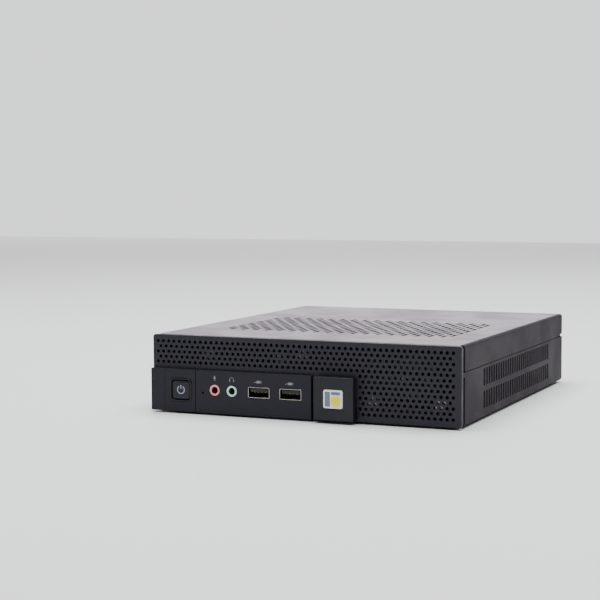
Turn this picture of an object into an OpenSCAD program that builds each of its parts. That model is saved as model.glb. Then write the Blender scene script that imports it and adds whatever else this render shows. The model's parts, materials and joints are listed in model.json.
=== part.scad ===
// Slim desktop mini pc: a folded steel case with a perforated plastic front.
// Frame: +Z up, front face towards -Y, +X to the right seen from the front.
// Origin: middle of the footprint, on the surface that the rubber feet stand on.

/* [Case] */
// Width over the front bezel
case_w = 190; // [184:1:240]
// Depth from the face of the grille to the rear wall
case_d = 217; // [214:1:280]
// Height of the case without its feet
case_h = 44.5; // [44:0.5:60]
// Thickness of the steel sheet
sheet_t = 1; // [0.6:0.1:1.2]
// Radius of the folds along the four long edges
fold_r = 1.8; // [1.3:0.1:3]
// Amount by which each steel side stands back from the bezel's side
metal_inset = 0.3; // [0.1:0.1:1]
// Height of the seam between the chassis and the cover
seam_h = 30; // [29.5:0.5:32]
// Width of the visible seams
seam_gap = 0.4; // [0.2:0.1:0.8]
// Clearance between pieces that slip into each other
fit_gap = 0.2; // [0.1:0.05:0.4]
// Height at which the rear wall ends and the cover's rear flange starts
rear_split_h = 36.5; // [36:0.5:37]
// Length of the lifting notch in the side seam at the rear
notch_l = 11; // [6:1:16]
// Height of the lifting notch
notch_h = 1.4; // [1:0.1:2]

/* [Side vents] */
// Width of a side slot
side_slot_w = 2.6; // [1.5:0.1:3.2]
// Distance from one side slot to the next
side_slot_pitch = 4.75; // [4.2:0.05:6]
// Height of a side slot
side_slot_h = 9.8; // [6:0.1:10.2]
// Height of the lower edge of the lower row of slots
side_low_z = 5.2; // [3:0.1:6]
// Height of the lower edge of the upper row of slots
side_high_z = 18.2; // [17.5:0.1:18.4]
// Distance from the steel's front edge to the first side slot
side_margin_front = 34; // [20:1:40]
// Least distance from the last side slot to the rear wall
side_margin_rear = 34; // [20:1:50]

/* [Top vents] */
// Width of a top slot
top_slot_w = 2.2; // [1.2:0.1:2.6]
// Length of a top slot
top_slot_l = 9.9; // [7:0.1:11]
// Distance from one column of top slots to the next
top_col_pitch = 3.96; // [3.6:0.01:6]
// Distance from one slot to the next in a column
top_row_pitch = 12.66; // [12.5:0.02:16]
// Least distance from the slots to each side, when they are in the middle
top_margin_x = 23; // [15:0.5:30]
// Sideways offset of the slots from the middle
top_field_x = 1.5; // [-3:0.1:3]
// Distance from the grille's face to the first slot
top_margin_front = 43; // [30:0.1:50]
// Least distance from the last slot to the rear wall
top_margin_rear = 78.5; // [70:0.5:90]

/* [Front bezel] */
// Thickness of the perforated plate
grille_t = 2.2; // [1.5:0.1:2.6]
// Depth of the rim that shows at the side
rim_d = 3.4; // [3:0.1:4.5]
// Distance from the grille's face to the steel case
neck_d = 7.4; // [6:0.1:9]
// Amount by which the neck stands back from the rim
neck_inset = 2.6; // [2:0.1:4]
// Wall of the neck
neck_wall = 1.6; // [1.2:0.1:2.5]
// Radius of the bezel's corners
bezel_r = 1.5; // [0.8:0.1:3]
// Diameter of a grille hole
hole_d = 1.95; // [1.2:0.05:2.4]
// Distance from one grille hole to the next
hole_pitch = 3.5; // [3:0.05:5]
// Distance from the left edge to the first hole
hole_margin_left = 3.4; // [2.5:0.1:6]
// Least distance from the last hole to the right edge
hole_margin_right = 4; // [2.5:0.1:6]
// Distance from the top edge to the first row of holes
hole_margin_top = 3.7; // [2.8:0.1:6]
// Least distance from the last row of holes to the bottom edge
hole_margin_bottom = 3.5; // [2.8:0.1:6]
// Least distance from a hole's centre to the blocks that stand on the grille
hole_keep = 1.5; // [1.3:0.1:3]

/* [Port panel] */
// Width of the port panel, from the left edge
panel_w = 102.8; // [100:0.2:105]
// Height of the port panel
panel_h = 24.9; // [22:0.1:26]
// Amount by which the port panel stands in front of the grille
panel_stand = 2.8; // [2:0.1:4]
// Distance from the left edge to the first groove in the panel
groove_a_x = 9.2; // [5:0.1:11]
// Distance from the left edge to the second groove in the panel
groove_b_x = 29.5; // [28:0.1:31]
// Width of a groove
groove_w = 0.45; // [0.2:0.05:0.8]
// Depth of a groove
groove_t = 0.4; // [0.2:0.1:0.8]
// Side margin of the window behind the panel
window_margin = 4.2; // [3:0.1:6]
// Top and bottom margin of the window behind the panel
window_margin_z = 2.6; // [2:0.1:4]

/* [Badge] */
// Gap between the port panel and the badge block
badge_gap = 2.4; // [0.5:0.1:3]
// Width of the badge block
badge_block_w = 24.1; // [18:0.1:30]
// Amount by which the badge block stands in front of the grille
badge_stand = 5.5; // [4:0.1:8]
// Height of the badge block's lower edge
badge_block_z = 0.5; // [0:0.1:2]
// Width of the badge plate
badge_w = 11.6; // [8:0.1:16]
// Height of the badge plate
badge_h = 10.4; // [8:0.1:16]
// Thickness of the badge plate
badge_t = 1.1; // [0.8:0.1:2]
// Depth of the pocket that holds the badge plate
badge_pocket = 0.6; // [0.3:0.1:1]

/* [Power button] */
// Distance from the left edge to the middle of the button
button_x = 19.8; // [18:0.1:22]
// Height of the middle of the button
button_z = 12.8; // [11.5:0.1:13.5]
// Width of the button
button_w = 11.8; // [9:0.1:12.5]
// Height of the button
button_h = 11.2; // [9:0.1:12]
// Width of the frame around the button
button_frame_w = 1; // [0.6:0.1:1.4]
// Gap between the button and its frame
button_gap = 0.3; // [0.15:0.05:0.5]
// Corner radius of the button
button_r = 1.9; // [1:0.1:3]
// Amount by which the frame stands in front of the panel
frame_proud = 0.3; // [0.1:0.1:0.8]
// Travel of the button
button_travel = 0.6; // [0.2:0.1:0.8]
// Radius of the power symbol
icon_r = 2.5; // [1.5:0.1:3]
// Width of the power symbol's lines
icon_line = 0.5; // [0.3:0.05:0.8]
// Depth of the power symbol's light guide
icon_t = 1; // [0.5:0.1:2]
// Radius of the button's stem
stem_r = 1.4; // [1:0.1:1.6]
// Radius of the power switch's plunger
plunger_r = 1.7; // [1.2:0.1:1.9]
// Radial running clearance of the plungers
plunger_gap = 0.06; // [0.02:0.01:0.1]

/* [Reset button] */
// Distance from the left edge to the reset pinhole
reset_x = 34.2; // [33:0.1:35]
// Height of the reset pinhole above the port board
reset_rise = 1.1; // [1:0.1:1.6]
// Diameter of the pinhole
pinhole_d = 1.3; // [0.8:0.1:1.6]
// Radius of the reset switch's plunger
reset_r = 0.7; // [0.5:0.05:0.9]

/* [Front ports] */
// Distance from the left edge to the microphone jack
mic_x = 42; // [41:0.1:43]
// Distance from the left edge to the headphone jack
phones_x = 53; // [51:0.1:54]
// Distance from the left edge to the first usb port
usb_a_x = 70.2; // [68:0.1:71]
// Distance from the left edge to the second usb port
usb_b_x = 90; // [88:0.1:91]
// Height of the middle of the front ports
port_z = 13.6; // [12.5:0.1:14.5]
// Diameter of the coloured ring of an audio jack
ring_d = 6.3; // [5.5:0.1:7]
// Diameter of the bore of an audio jack
jack_bore_d = 3.6; // [3.55:0.01:3.7]
// Depth of the bore in an audio jack's body
jack_depth = 11; // [9:0.5:12]
// Width of the mouth of a usb port
usb_w = 12.5; // [12.4:0.05:12.7]
// Height of the mouth of a usb port
usb_h = 5.12; // [5.1:0.01:5.3]
// Thickness of a usb port's steel shell
usb_wall = 0.55; // [0.3:0.05:0.7]
// Length of a usb port
usb_l = 14; // [12:0.5:18]
// Thickness of a circuit board
board_t = 1.6; // [1:0.1:2]
// Distance from the grille's face to the port board's rear edge
port_board_y = 30; // [24:0.5:34]

/* [Main board] */
// Side of the square main board
main_board_w = 170; // [165:1:172]
// Height of the stand-offs under the main board
standoff_h = 5.5; // [5:0.1:6.5]
// Distance between the board's fixing holes, across
board_hole_dx = 157.48; // [150:0.01:158]
// Distance between the board's fixing holes, front to back
board_hole_dy = 154.94; // [150:0.01:158]
// Distance from the board's rear edge to the rear fixing holes
board_hole_rear = 10.16; // [9:0.01:11]
// Clearance between the board's rear edge and the port shield
board_rear_gap = 0.3; // [0.2:0.1:1]
// Width of the rear port shield
shield_w = 158.75; // [156:0.05:160]
// Height of the rear port shield
shield_h = 25; // [20:0.5:26]
// Thickness of the port shield's flange
shield_flange_t = 0.5; // [0.3:0.1:0.8]
// Amount by which the rear ports stand out behind the shield
port_proud = 0.6; // [0.2:0.1:1.5]

/* [Cooler] */
// Sideways offset of the processor and its cooler
cooler_x = -1; // [-3:0.5:1]
// Distance from the main board's front edge to the middle of the cooler
cooler_in = 44.8; // [44:0.1:45.6]
// Side of the square heat sink
sink_w = 84; // [82:1:84]
// Thickness of the heat sink's base
sink_base_t = 3; // [2:0.5:4]
// Distance from one fin to the next
fin_pitch = 4; // [4:1:4]
// Thickness of a fin
fin_t = 0.8; // [0.5:0.1:0.9]
// Side of the square fan frame
fan_w = 70; // [68:1:72]
// Height of the fan frame
fan_h = 15; // [14:1:16]
// Distance between the fan's fixing screws
fan_hole_pitch = 60; // [60:1:60]
// Clearance between the fan and the cover
fan_headroom = 1; // [0.8:0.1:2]
// Outer radius of the fan's blades
blade_r = 31.5; // [28:0.5:32]
// Gap between the blades and the duct
blade_gap = 1; // [0.6:0.1:1.5]
// Outer radius of the fan's hub
hub_r = 15; // [13:0.5:17]
// Number of fan blades
blade_count = 7; // [5:1:9]
// Radius of the fan's shaft
shaft_r = 1.5; // [1:0.1:1.8]
// Radial running clearance of the fan's shaft
shaft_gap = 0.05; // [0.02:0.01:0.1]

/* [Drive] */
// Length of the storage drive
drive_l = 100; // [99:0.5:101]
// Width of the storage drive
drive_w = 69.85; // [69:0.05:70]
// Height of the storage drive
drive_h = 7; // [7:0.5:9.5]
// Clearance between the drive and the cover
drive_headroom = 4; // [3:0.5:5]
// Distance from the drive to the rear wall
drive_rear = 9.5; // [9:0.5:11]
// Sideways place of the drive's left end
drive_x = -80; // [-81:1:-60]

/* [Fixings] */
// Distance between the holes for a wall or monitor bracket
bracket_pitch = 75; // [75:1:75]
// Radius of the bracket holes, tapped for M4
bracket_hole_r = 1.65; // [1.6:0.05:2]
// Height of the rubber feet below the case
foot_h = 1.2; // [0.8:0.1:3]
// Radius of a rubber foot
foot_r = 6; // [4:0.5:8]
// Radius of an M3 screw's shank
m3_r = 1.4; // [1.3:0.05:1.5]
// Radius of the head of an M3 screw
m3_head_r = 2.8; // [2.5:0.1:3]
// Distance of the cover screws from the middle
cover_screw_x = 60; // [40:1:70]
// Length of the security lock slot
lock_slot_l = 7; // [7:0.1:7.5]
// Width of the security lock slot
lock_slot_w = 3; // [3:0.1:3.3]

/* [Hidden] */
$fn = 48;
tiny = 0.01;

// Overall layout
screw_head_h = 3.2;
front_reach = badge_stand + badge_t - badge_pocket;
overall_d = front_reach + case_d + screw_head_h;
y_front = front_reach - overall_d / 2;
metal_w = case_w - 2 * metal_inset;
inner_w = metal_w - 2 * sheet_t;
roof_z = case_h - sheet_t;
neck_top = roof_z - fit_gap;

// Vents
top_cols = floor((case_w - 2 * top_margin_x) / top_col_pitch) + 1;
top_field_w = (top_cols - 1) * top_col_pitch;
top_space = case_d - top_margin_front - top_margin_rear - top_slot_l;
top_rows = floor(top_space / top_row_pitch) + 1;
side_space = case_d - neck_d - side_margin_front - side_margin_rear - side_slot_w;
side_slots = floor(side_space / side_slot_pitch) + 1;
row_pitch = hole_pitch * sqrt(3) / 2;
grille_cols = floor((case_w - hole_margin_left - hole_margin_right) / hole_pitch) + 1;
grille_rows = floor((case_h - hole_margin_top - hole_margin_bottom) / row_pitch) + 1;

// Front panel and port board
badge_x = panel_w + badge_gap;
badge_mid_x = badge_x + badge_block_w / 2;
badge_block_h = panel_h - badge_block_z;
badge_mid_z = button_z;
frame_w = button_w + 2 * (button_gap + button_frame_w);
frame_h = button_h + 2 * (button_gap + button_frame_w);
usb_outer_w = usb_w + 2 * usb_wall;
usb_outer_h = usb_h + 2 * usb_wall;
port_board_top = port_z - usb_outer_h / 2;
port_board_z = port_board_top - board_t;
port_board_x = [10, 100.5];
port_board_front = 3;
port_screw_x = [14.5, 62, 97.5];
port_screw_y = port_board_y - 4;
jack_body_w = 7.6;
jack_body_y = 1.4;
reset_z = port_board_top + reset_rise;
button_back = 1.2;
button_flange_t = 1;
switch_y = 8.2;
plunger_y = 5.5;
press_gap = 0.1;

// Main board
board_z = sheet_t + standoff_h;
board_top = board_z + board_t;
shield_y = case_d - sheet_t - shield_flange_t;
board_rear = shield_y - board_rear_gap;
board_front = board_rear - main_board_w;
hole_rear_y = board_rear - board_hole_rear;
hole_front_y = hole_rear_y - board_hole_dy;
shield_z = board_top - 2.2;

// Cooler
cooler_y = board_front + cooler_in;
cooler_pitch = 75;
cooler_screw_r = 1.5;
cooler_head_r = 3;
cooler_head_h = 2.4;
cooler_nut_h = 2.5;
socket_w = 44;
socket_t = 2.5;
socket_lip_t = 1;
cpu_w = 37.5;
cpu_plate_t = 1.2;
cpu_lid_w = 32;
cpu_t = 3.4;
sink_z = board_top + socket_t + cpu_t;
fin_z = sink_z + sink_base_t;
fan_z = roof_z - fan_headroom - fan_h;
fin_count = 2 * floor((sink_w / 2 - fin_t) / fin_pitch) + 1;
duct_r = blade_r + blade_gap;
hub_z = fan_z + 3.6;
hub_top = fan_z + fan_h - 0.8;
hub_wall = 1.6;
motor_plate_t = 2.4;
motor_arm_w = 3;
fan_corner_r = 4;
fan_screw_r = 1.5;
fan_head_r = 2.9;
fan_head_h = 2;
fan_sunk = 2.4;
blade_t = 1.3;
blade_tilt = 36;
stator_r = hub_r - hub_wall - 1;
bearing_r = 3.5;
bearing_top = hub_top - hub_wall - 1.2;

// Drive bay
drive_z = roof_z - drive_headroom - drive_h;
bay_t = 1;
bay_z = drive_z - bay_t;
drive_y = case_d - drive_rear - drive_w;
drive_hole_dx = 76.6;
drive_hole_dy = 61.72;
bay_leg_y = [drive_y + 3, drive_y + 23];
bay_post_x = board_hole_dx / 2;
bay_leg_w = 6.5;
bay_leg_x = 88;
bay_half_w = 83;
drive_hole_deep = 3;

// Memory and the smaller parts on the main board
memory_x = 76;
memory_l = 74;
memory_z = [2, 7.2];
module_t = 1.2;
module_reach = 26.6;
chip_t = 1;
m2_x = -69;
m2_w = 22;
m2_l = 82;
m2_socket_t = 3.2;
m2_z = 1.6;
m2_board_t = 0.8;
m2_chip_t = 1.4;
cell_r = 10;
cell_t = 3.2;
cell_gap = 0.1;
holder_wall = 1.5;
holder_floor_t = 0.8;
chipset_w = 18;
chipset_t = 1.2;
chipset_sink_w = 36;
chipset_sink_h = 9;
choke_w = 7;
choke_h = 5;
choke_pitch = 9;
capacitor_r = 3;
capacitor_h = 7;
capacitor_pitch = 8;

// Usb tongues and contacts
usb_back_y = usb_l - panel_stand - 0.4;
usb_back_t = 3.4;
tongue_w = 11.1;
tongue_t = 1.84;
tongue_z = 0.25;
contact_t = 0.15;
contact_w = 1;
contact_x = [-3.5, -1, 1, 3.5];

// Flat ribbon from the port board to the main board, clear of the screws on both boards
ribbon_w = 14;
ribbon_t = 0.9;
ribbon_rise = 7;
ribbon_clear = 0.5;
ribbon_x0 = max(-board_hole_dx / 2, from_left(port_screw_x[0])) + m3_head_r + ribbon_clear;

// Case details
cover_screw_z = (rear_split_h + seam_gap + roof_z) / 2;
cover_head_r = 3;
seam_flange_h = 6.6;
seam_flange_drop = 1.6;
tab_h = 2.6;
tab_drop = 0.4;
foot_inset_x = 14;
foot_y = [20, case_d - 14];
window_x = [from_left(window_margin), from_left(panel_w - 2)];
clip_places = [[36.5, 32.5], [96, 35.5], [138, 12], [177.5, 12]];
clip_w = 6;
clip_t = 0.5;
clip_pin_r = 1.2;

// Rear ports: middle, width and height of each, from left to right seen from the front
dc_port = [-67, 9, 11];
dp_port = [-50, 17, 6.6];
hdmi_port = [-31, 15.2, 6.2];
usb_ports = [-12.5, 6];
usb_stack_w = 14.4;
usb_stack_h = 15.6;
usb_stack_l = 17;
usb_floor_z = [1.9, 9.1];
lan_ports = [25.5, 45];
lan_w = 16;
lan_h = 13.4;
lan_l = 21;
lan_mouth_w = 11.9;
lan_mouth_h = 8.2;
audio_ports = [60, 67.4];
audio_w = 7.2;
audio_h = 8;
port_end = case_d + port_proud;

function from_left(u) = u - case_w / 2;

// ---- helpers ----

// Everything below is placed from the grille's face and the case's underside
module on_case() translate([0, y_front, foot_h]) children();

module box(x, y, z)
    translate([x[0], y[0], z[0]]) cube([x[1] - x[0], y[1] - y[0], z[1] - z[0]]);

// A flat shape, drawn as seen from the front, made thick from y0 to y1
module along_y(y0, y1)
    translate([0, y1, 0]) rotate([90, 0, 0]) linear_extrude(y1 - y0) children();

// A flat shape, drawn as seen from the right, made thick from x0 to x1
module along_x(x0, x1)
    translate([x0, 0, 0]) rotate([90, 0, 90]) linear_extrude(x1 - x0) children();

module round_rect(w, h, r) {
    square([w - 2 * r, h], center = true);
    square([w, h - 2 * r], center = true);
    for (sx = [-1, 1], sy = [-1, 1])
        translate([sx * (w / 2 - r), sy * (h / 2 - r)]) circle(r = r);
}

// A round-ended slot, length along the second axis
module slot(w, l) {
    square([w, l - w], center = true);
    for (s = [-1, 1]) translate([0, s * (l - w) / 2]) circle(d = w, $fn = 20);
}

module rod_y(x, z, r, y0, y1)
    translate([x, y1, z]) rotate([90, 0, 0]) cylinder(r = r, h = y1 - y0);

module rod_z(x, y, r, z0, z1) translate([x, y, z0]) cylinder(r = r, h = z1 - z0);

// A hexagonal spacer with a round bore
module hex_spacer(x, y, z0, z1, across = 5)
    difference() {
        translate([x, y, z0]) cylinder(d = across * 2 / sqrt(3), h = z1 - z0, $fn = 6);
        rod_z(x, y, m3_r, z0 - 1, z1 + 1);
    }

// A pan-head screw that hangs down from the surface it clamps
module screw_down(x, y, z, l, head_h = 1.8) {
    rod_z(x, y, m3_head_r, z, z + head_h);
    rod_z(x, y, m3_r, z - l, z + tiny);
}

module at_corners(dx, dy) for (sx = [-1, 1], sy = [-1, 1])
    translate([sx * dx / 2, sy * dy / 2, 0]) children();

// ---- case ----

module case_outline(w, h, r) translate([0, case_h / 2]) round_rect(w, h, r);

module case_shell() difference() {
    case_outline(metal_w, case_h, fold_r);
    case_outline(inner_w, case_h - 2 * sheet_t, fold_r - sheet_t);
}

// Every other column has one slot less and sits half a row further back
module top_slots()
    for (i = [0:top_cols - 1])
        let (short = (i + 1) % 2)
            for (j = [0:top_rows - 1 - short])
                translate([
                    -0.5 * top_field_w + i * top_col_pitch + top_field_x,
                    top_margin_front + top_slot_l / 2 + (j + short / 2) * top_row_pitch
                ]) slot(top_slot_w, top_slot_l);

module top_cover() color("#75707a") on_case() difference() {
    union() {
        along_y(neck_d, case_d) intersection() {
            case_shell();
            translate([-case_w, seam_h]) square([2 * case_w, case_h]);
        }
        // The roof reaches forward over the bezel's neck
        box([-metal_w / 2 + fold_r, metal_w / 2 - fold_r], [rim_d + seam_gap, neck_d], [roof_z, case_h]);
        // Rear flange
        box([-inner_w / 2, inner_w / 2], [case_d - sheet_t, case_d], [rear_split_h + seam_gap, roof_z]);
    }
    translate([0, 0, roof_z - 1]) linear_extrude(sheet_t + 2) top_slots();
    for (s = [-1, 1]) {
        rod_y(s * cover_screw_x, cover_screw_z, m3_r + fit_gap, case_d - 3, case_d + 1);
        // Lifting notch at the rear end of each side seam
        box([s * metal_w / 2 - 2, s * metal_w / 2 + 2], [case_d - notch_l, case_d + 1],
            [seam_h - 1, seam_h + notch_h]);
    }
}
module side_slot_rows()
    for (i = [0:side_slots - 1], z = [side_low_z, side_high_z])
        translate([neck_d + side_margin_front + i * side_slot_pitch, z])
            square([side_slot_w, side_slot_h]);

module chassis_tray() color("#5b5660") on_case() difference() {
    union() {
        along_y(neck_d, case_d) intersection() {
            case_shell();
            translate([-case_w, -1]) square([2 * case_w, seam_h - seam_gap + 1]);
        }
        // Front wall
        box([-inner_w / 2 + fit_gap, inner_w / 2 - fit_gap], [neck_d, neck_d + sheet_t],
            [sheet_t, roof_z - fit_gap]);
        // Rear wall, and the flange that takes the cover screws
        box([-inner_w / 2 + fit_gap, inner_w / 2 - fit_gap], [case_d - sheet_t, case_d],
            [sheet_t, rear_split_h]);
        box([-inner_w / 2 + 4, inner_w / 2 - 4], [case_d - 2 * sheet_t, case_d - sheet_t],
            [rear_split_h - 3, roof_z - 1]);
        for (s = [-1, 1]) {
            // Inner flange that backs the side seam
            box([s * (inner_w - sheet_t) / 2 - sheet_t / 2, s * (inner_w - sheet_t) / 2 + sheet_t / 2],
                [neck_d + 3, case_d - 3],
                [seam_h - seam_flange_drop, seam_h - seam_flange_drop + seam_flange_h]);
            // Tab that reaches forward to the bezel
            box([s * (metal_w - sheet_t) / 2 - sheet_t / 2, s * (metal_w - sheet_t) / 2 + sheet_t / 2],
                [rim_d + seam_gap, neck_d + 1], [seam_h - tab_drop - tab_h, seam_h - tab_drop]);
        }
    }
    along_x(-case_w, case_w) side_slot_rows();
    // Front wall: window for the ports, and two vent windows behind the grille
    box(window_x, [neck_d - 1, neck_d + 2], [window_margin_z, panel_h]);
    box([-inner_w / 2 + 8, inner_w / 2 - 8], [neck_d - 1, neck_d + 2], [seam_h, roof_z - 5]);
    box([from_left(badge_x + badge_block_w) + 2, inner_w / 2 - 14], [neck_d - 1, neck_d + 2],
        [window_margin_z + 2, seam_h - 4]);
    // Rear wall: port shield, cover screws and lock slot
    box([-shield_w / 2, shield_w / 2], [case_d - sheet_t - 1, case_d + 1], [shield_z, shield_z + shield_h]);
    for (s = [-1, 1]) rod_y(s * cover_screw_x, cover_screw_z, m3_r, case_d - 4, case_d + 1);
    along_y(case_d - 2, case_d + 1)
        translate([(shield_w / 2 + inner_w / 2) / 2, seam_h / 2]) slot(lock_slot_w, lock_slot_l);
    // Floor: tapped holes for a wall or monitor bracket
    translate([0, case_d / 2, 0]) at_corners(bracket_pitch, bracket_pitch)
        translate([0, 0, -1]) cylinder(r = bracket_hole_r, h = sheet_t + 2);
}

module rubber_feet() color("#202022") on_case()
    for (s = [-1, 1], y = foot_y) rod_z(s * (case_w / 2 - foot_inset_x), y, foot_r, -foot_h, 0);

module cover_screws() color("#b8b8bc") on_case()
    for (s = [-1, 1]) {
        rod_y(s * cover_screw_x, cover_screw_z, cover_head_r, case_d, case_d + screw_head_h);
        rod_y(s * cover_screw_x, cover_screw_z, m3_r, case_d - 4.5, case_d);
    }

// ---- front ----

function hole_clear(x, z) = z > panel_h + hole_keep || x > badge_x + badge_block_w + hole_keep;

module grille_holes()
    for (j = [0:grille_rows - 1], i = [0:grille_cols - 1 - j % 2]) {
        x = hole_margin_left + (i + (j % 2) / 2) * hole_pitch;
        z = case_h - hole_margin_top - j * row_pitch;
        if (hole_clear(x, z)) translate([from_left(x), z]) circle(d = hole_d, $fn = 20);
    }

module neck_hole() {
    w = case_w - 2 * (neck_inset + neck_wall);
    translate([-w / 2, neck_wall]) square([w, neck_top - 2 * neck_wall]);
}

module port_window() translate([window_x[0], window_margin_z])
    square([window_x[1] - window_x[0], panel_h - 2 * window_margin_z]);

module front_bezel() color("#26272f") on_case() {
    along_y(0, grille_t) difference() {
        case_outline(case_w, case_h, bezel_r);
        grille_holes();
        port_window();
    }
    along_y(grille_t, rim_d) difference() {
        case_outline(case_w, case_h, bezel_r);
        neck_hole();
    }
    along_y(rim_d, neck_d) difference() {
        translate([-case_w / 2 + neck_inset, 0]) square([case_w - 2 * neck_inset, neck_top]);
        neck_hole();
    }
}

module bezel_clips() color("#c9c9ce") on_case()
    for (p = clip_places) {
        x = from_left(p[0]);
        box([x - clip_w / 2, x + clip_w / 2], [grille_t + 0.1, grille_t + 0.1 + clip_t],
            [p[1] - clip_w / 2, p[1] + clip_w / 2]);
        rod_y(x, p[1], clip_pin_r, grille_t + 0.1 + clip_t, neck_d);
    }

module panel_shape() translate([from_left(panel_w / 2), panel_h / 2]) round_rect(panel_w, panel_h, 0.8);

module port_panel() color("#2d2d38") on_case() difference() {
    along_y(-panel_stand, 0) difference() {
        panel_shape();
        translate([from_left(button_x), button_z]) round_rect(frame_w, frame_h, button_r + 1);
        translate([from_left(reset_x), reset_z]) circle(d = pinhole_d);
        for (x = [mic_x, phones_x]) translate([from_left(x), port_z]) circle(d = ring_d);
        for (x = [usb_a_x, usb_b_x]) translate([from_left(x), port_z])
            square([usb_outer_w, usb_outer_h], center = true);
    }
    for (x = [groove_a_x, groove_b_x])
        box([from_left(x) - groove_w / 2, from_left(x) + groove_w / 2],
            [-panel_stand - 1, -panel_stand + groove_t], [-1, panel_h + 1]);
}

module badge_block() color("#24252d") on_case()
    translate([from_left(badge_mid_x), 0, badge_block_z + badge_block_h / 2]) difference() {
        along_y(-badge_stand, 0) round_rect(badge_block_w, badge_block_h, 0.8);
        translate([0, 0, badge_mid_z - badge_block_z - badge_block_h / 2])
            along_y(-badge_stand - 1, -badge_stand + badge_pocket) round_rect(badge_w, badge_h, 1.2);
    }

module badge_plate() color("#e8e8ec") on_case()
    translate([from_left(badge_mid_x), 0, badge_mid_z])
        along_y(-badge_stand + badge_pocket - badge_t, -badge_stand + badge_pocket)
            round_rect(badge_w, badge_h, 1.2);

module at_button() on_case() translate([from_left(button_x), 0, button_z]) children();

module button_frame() color("#0c0c10") at_button()
    along_y(-panel_stand - frame_proud, 0) difference() {
        round_rect(frame_w, frame_h, button_r + 1);
        round_rect(button_w + 2 * button_gap, button_h + 2 * button_gap, button_r + button_gap);
    }

module power_symbol() {
    difference() {
        circle(r = icon_r);
        circle(r = icon_r - icon_line);
        translate([-icon_line * 1.3, 0]) square([icon_line * 2.6, icon_r + 1]);
    }
    translate([-icon_line / 2, icon_r * 0.15]) square([icon_line, icon_r]);
}

module power_button() color("#23242c") at_button() {
    difference() {
        along_y(-panel_stand, button_back - button_flange_t) round_rect(button_w, button_h, button_r);
        along_y(-panel_stand - 1, -panel_stand + icon_t) power_symbol();
    }
    // Flange behind the frame keeps the button in
    along_y(button_back - button_flange_t, button_back) round_rect(frame_w, frame_h, button_r + 1);
    rod_y(0, 0, stem_r, button_back, plunger_y - press_gap);
}

module power_icon() color("#dfe8f5") at_button()
    along_y(-panel_stand, -panel_stand + icon_t) power_symbol();

// A right-angle push switch, seen from its plunger
module switch_body(w, z0, z1, y0, y1, bore_r)
    difference() {
        box([-w / 2, w / 2], [y0, y1], [z0, z1]);
        rod_y(0, 0, bore_r, y0 - 1, y1 - 1);
    }

module power_switch() color("#1b1b1f") at_button()
    switch_body(6.4, port_board_top - button_z, 3.2, switch_y, switch_y + 3.8, plunger_r + plunger_gap);

module power_plunger() color("#d9d9d9") at_button()
    rod_y(0, 0, plunger_r, plunger_y, switch_y + 3.8 - 1 - button_travel - 0.3);

module at_reset() on_case() translate([from_left(reset_x), 0, reset_z]) children();

module reset_switch() color("#1b1b1f") at_reset()
    switch_body(4.4, -reset_rise, 1.6, 4, 7.4, reset_r + plunger_gap);

module reset_plunger() color("#d9d9d9") at_reset() rod_y(0, 0, reset_r, 1.2, 5.8);

module power_led() color("#cfe3ff") on_case()
    box([from_left(button_x) + 3.4, from_left(button_x) + 5], [3.6, 5.2],
        [port_board_top, port_board_top + 0.8]);

module port_board() color("#1f5a37") on_case() difference() {
    box([from_left(port_board_x[0]), from_left(port_board_x[1])], [port_board_front, port_board_y],
        [port_board_z, port_board_top]);
    for (x = port_screw_x) rod_z(from_left(x), port_screw_y, m3_r + fit_gap, 0, case_h);
}

module port_board_standoffs() color("#c8b273") on_case()
    for (x = port_screw_x) hex_spacer(from_left(x), port_screw_y, sheet_t, port_board_z);

module port_board_screws() color("#b8b8bc") on_case()
    for (x = port_screw_x) screw_down(from_left(x), port_screw_y, port_board_top, 5);

module jack_ring(x) on_case() along_y(-panel_stand - 0.3, jack_body_y)
    translate([from_left(x), port_z]) difference() {
        circle(d = ring_d);
        circle(d = jack_bore_d);
    }

module jack_body(x) on_case() translate([from_left(x), 0, port_z]) difference() {
    box([-jack_body_w / 2, jack_body_w / 2], [jack_body_y, jack_body_y + jack_depth + 2],
        [port_board_top - port_z, 3.4]);
    rod_y(0, 0, jack_bore_d / 2, jack_body_y - 1, jack_body_y + jack_depth);
}

module mic_jack_ring() color("#eba0a0") jack_ring(mic_x);
module mic_jack_body() color("#701822") jack_body(mic_x);
module headphone_jack_ring() color("#bfe9d8") jack_ring(phones_x);
module headphone_jack_body() color("#1c5a42") jack_body(phones_x);

module usb_shell(x) on_case() along_y(-panel_stand - 0.1, usb_l - panel_stand)
    translate([from_left(x), port_z]) difference() {
        square([usb_outer_w, usb_outer_h], center = true);
        square([usb_w, usb_h], center = true);
    }

module usb_shell_left() color("#c4c4c8") usb_shell(usb_a_x);
module usb_shell_right() color("#c4c4c8") usb_shell(usb_b_x);

module usb_inserts() color("#141417") on_case()
    for (x = [usb_a_x, usb_b_x]) translate([from_left(x), 0, port_z]) {
        box([-usb_w / 2 + 0.05, usb_w / 2 - 0.05], [usb_back_y - usb_back_t, usb_back_y],
            [-usb_h / 2 + 0.05, usb_h / 2 - 0.05]);
        box([-tongue_w / 2, tongue_w / 2], [-panel_stand + 0.9, usb_back_y - usb_back_t],
            [tongue_z, tongue_z + tongue_t]);
    }

module usb_contacts() color("#d8b45a") on_case()
    for (x = [usb_a_x, usb_b_x], c = contact_x) translate([from_left(x) + c, 0, port_z])
        box([-contact_w / 2, contact_w / 2], [-panel_stand + 1.6, usb_back_y - usb_back_t],
            [tongue_z - contact_t, tongue_z]);

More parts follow.
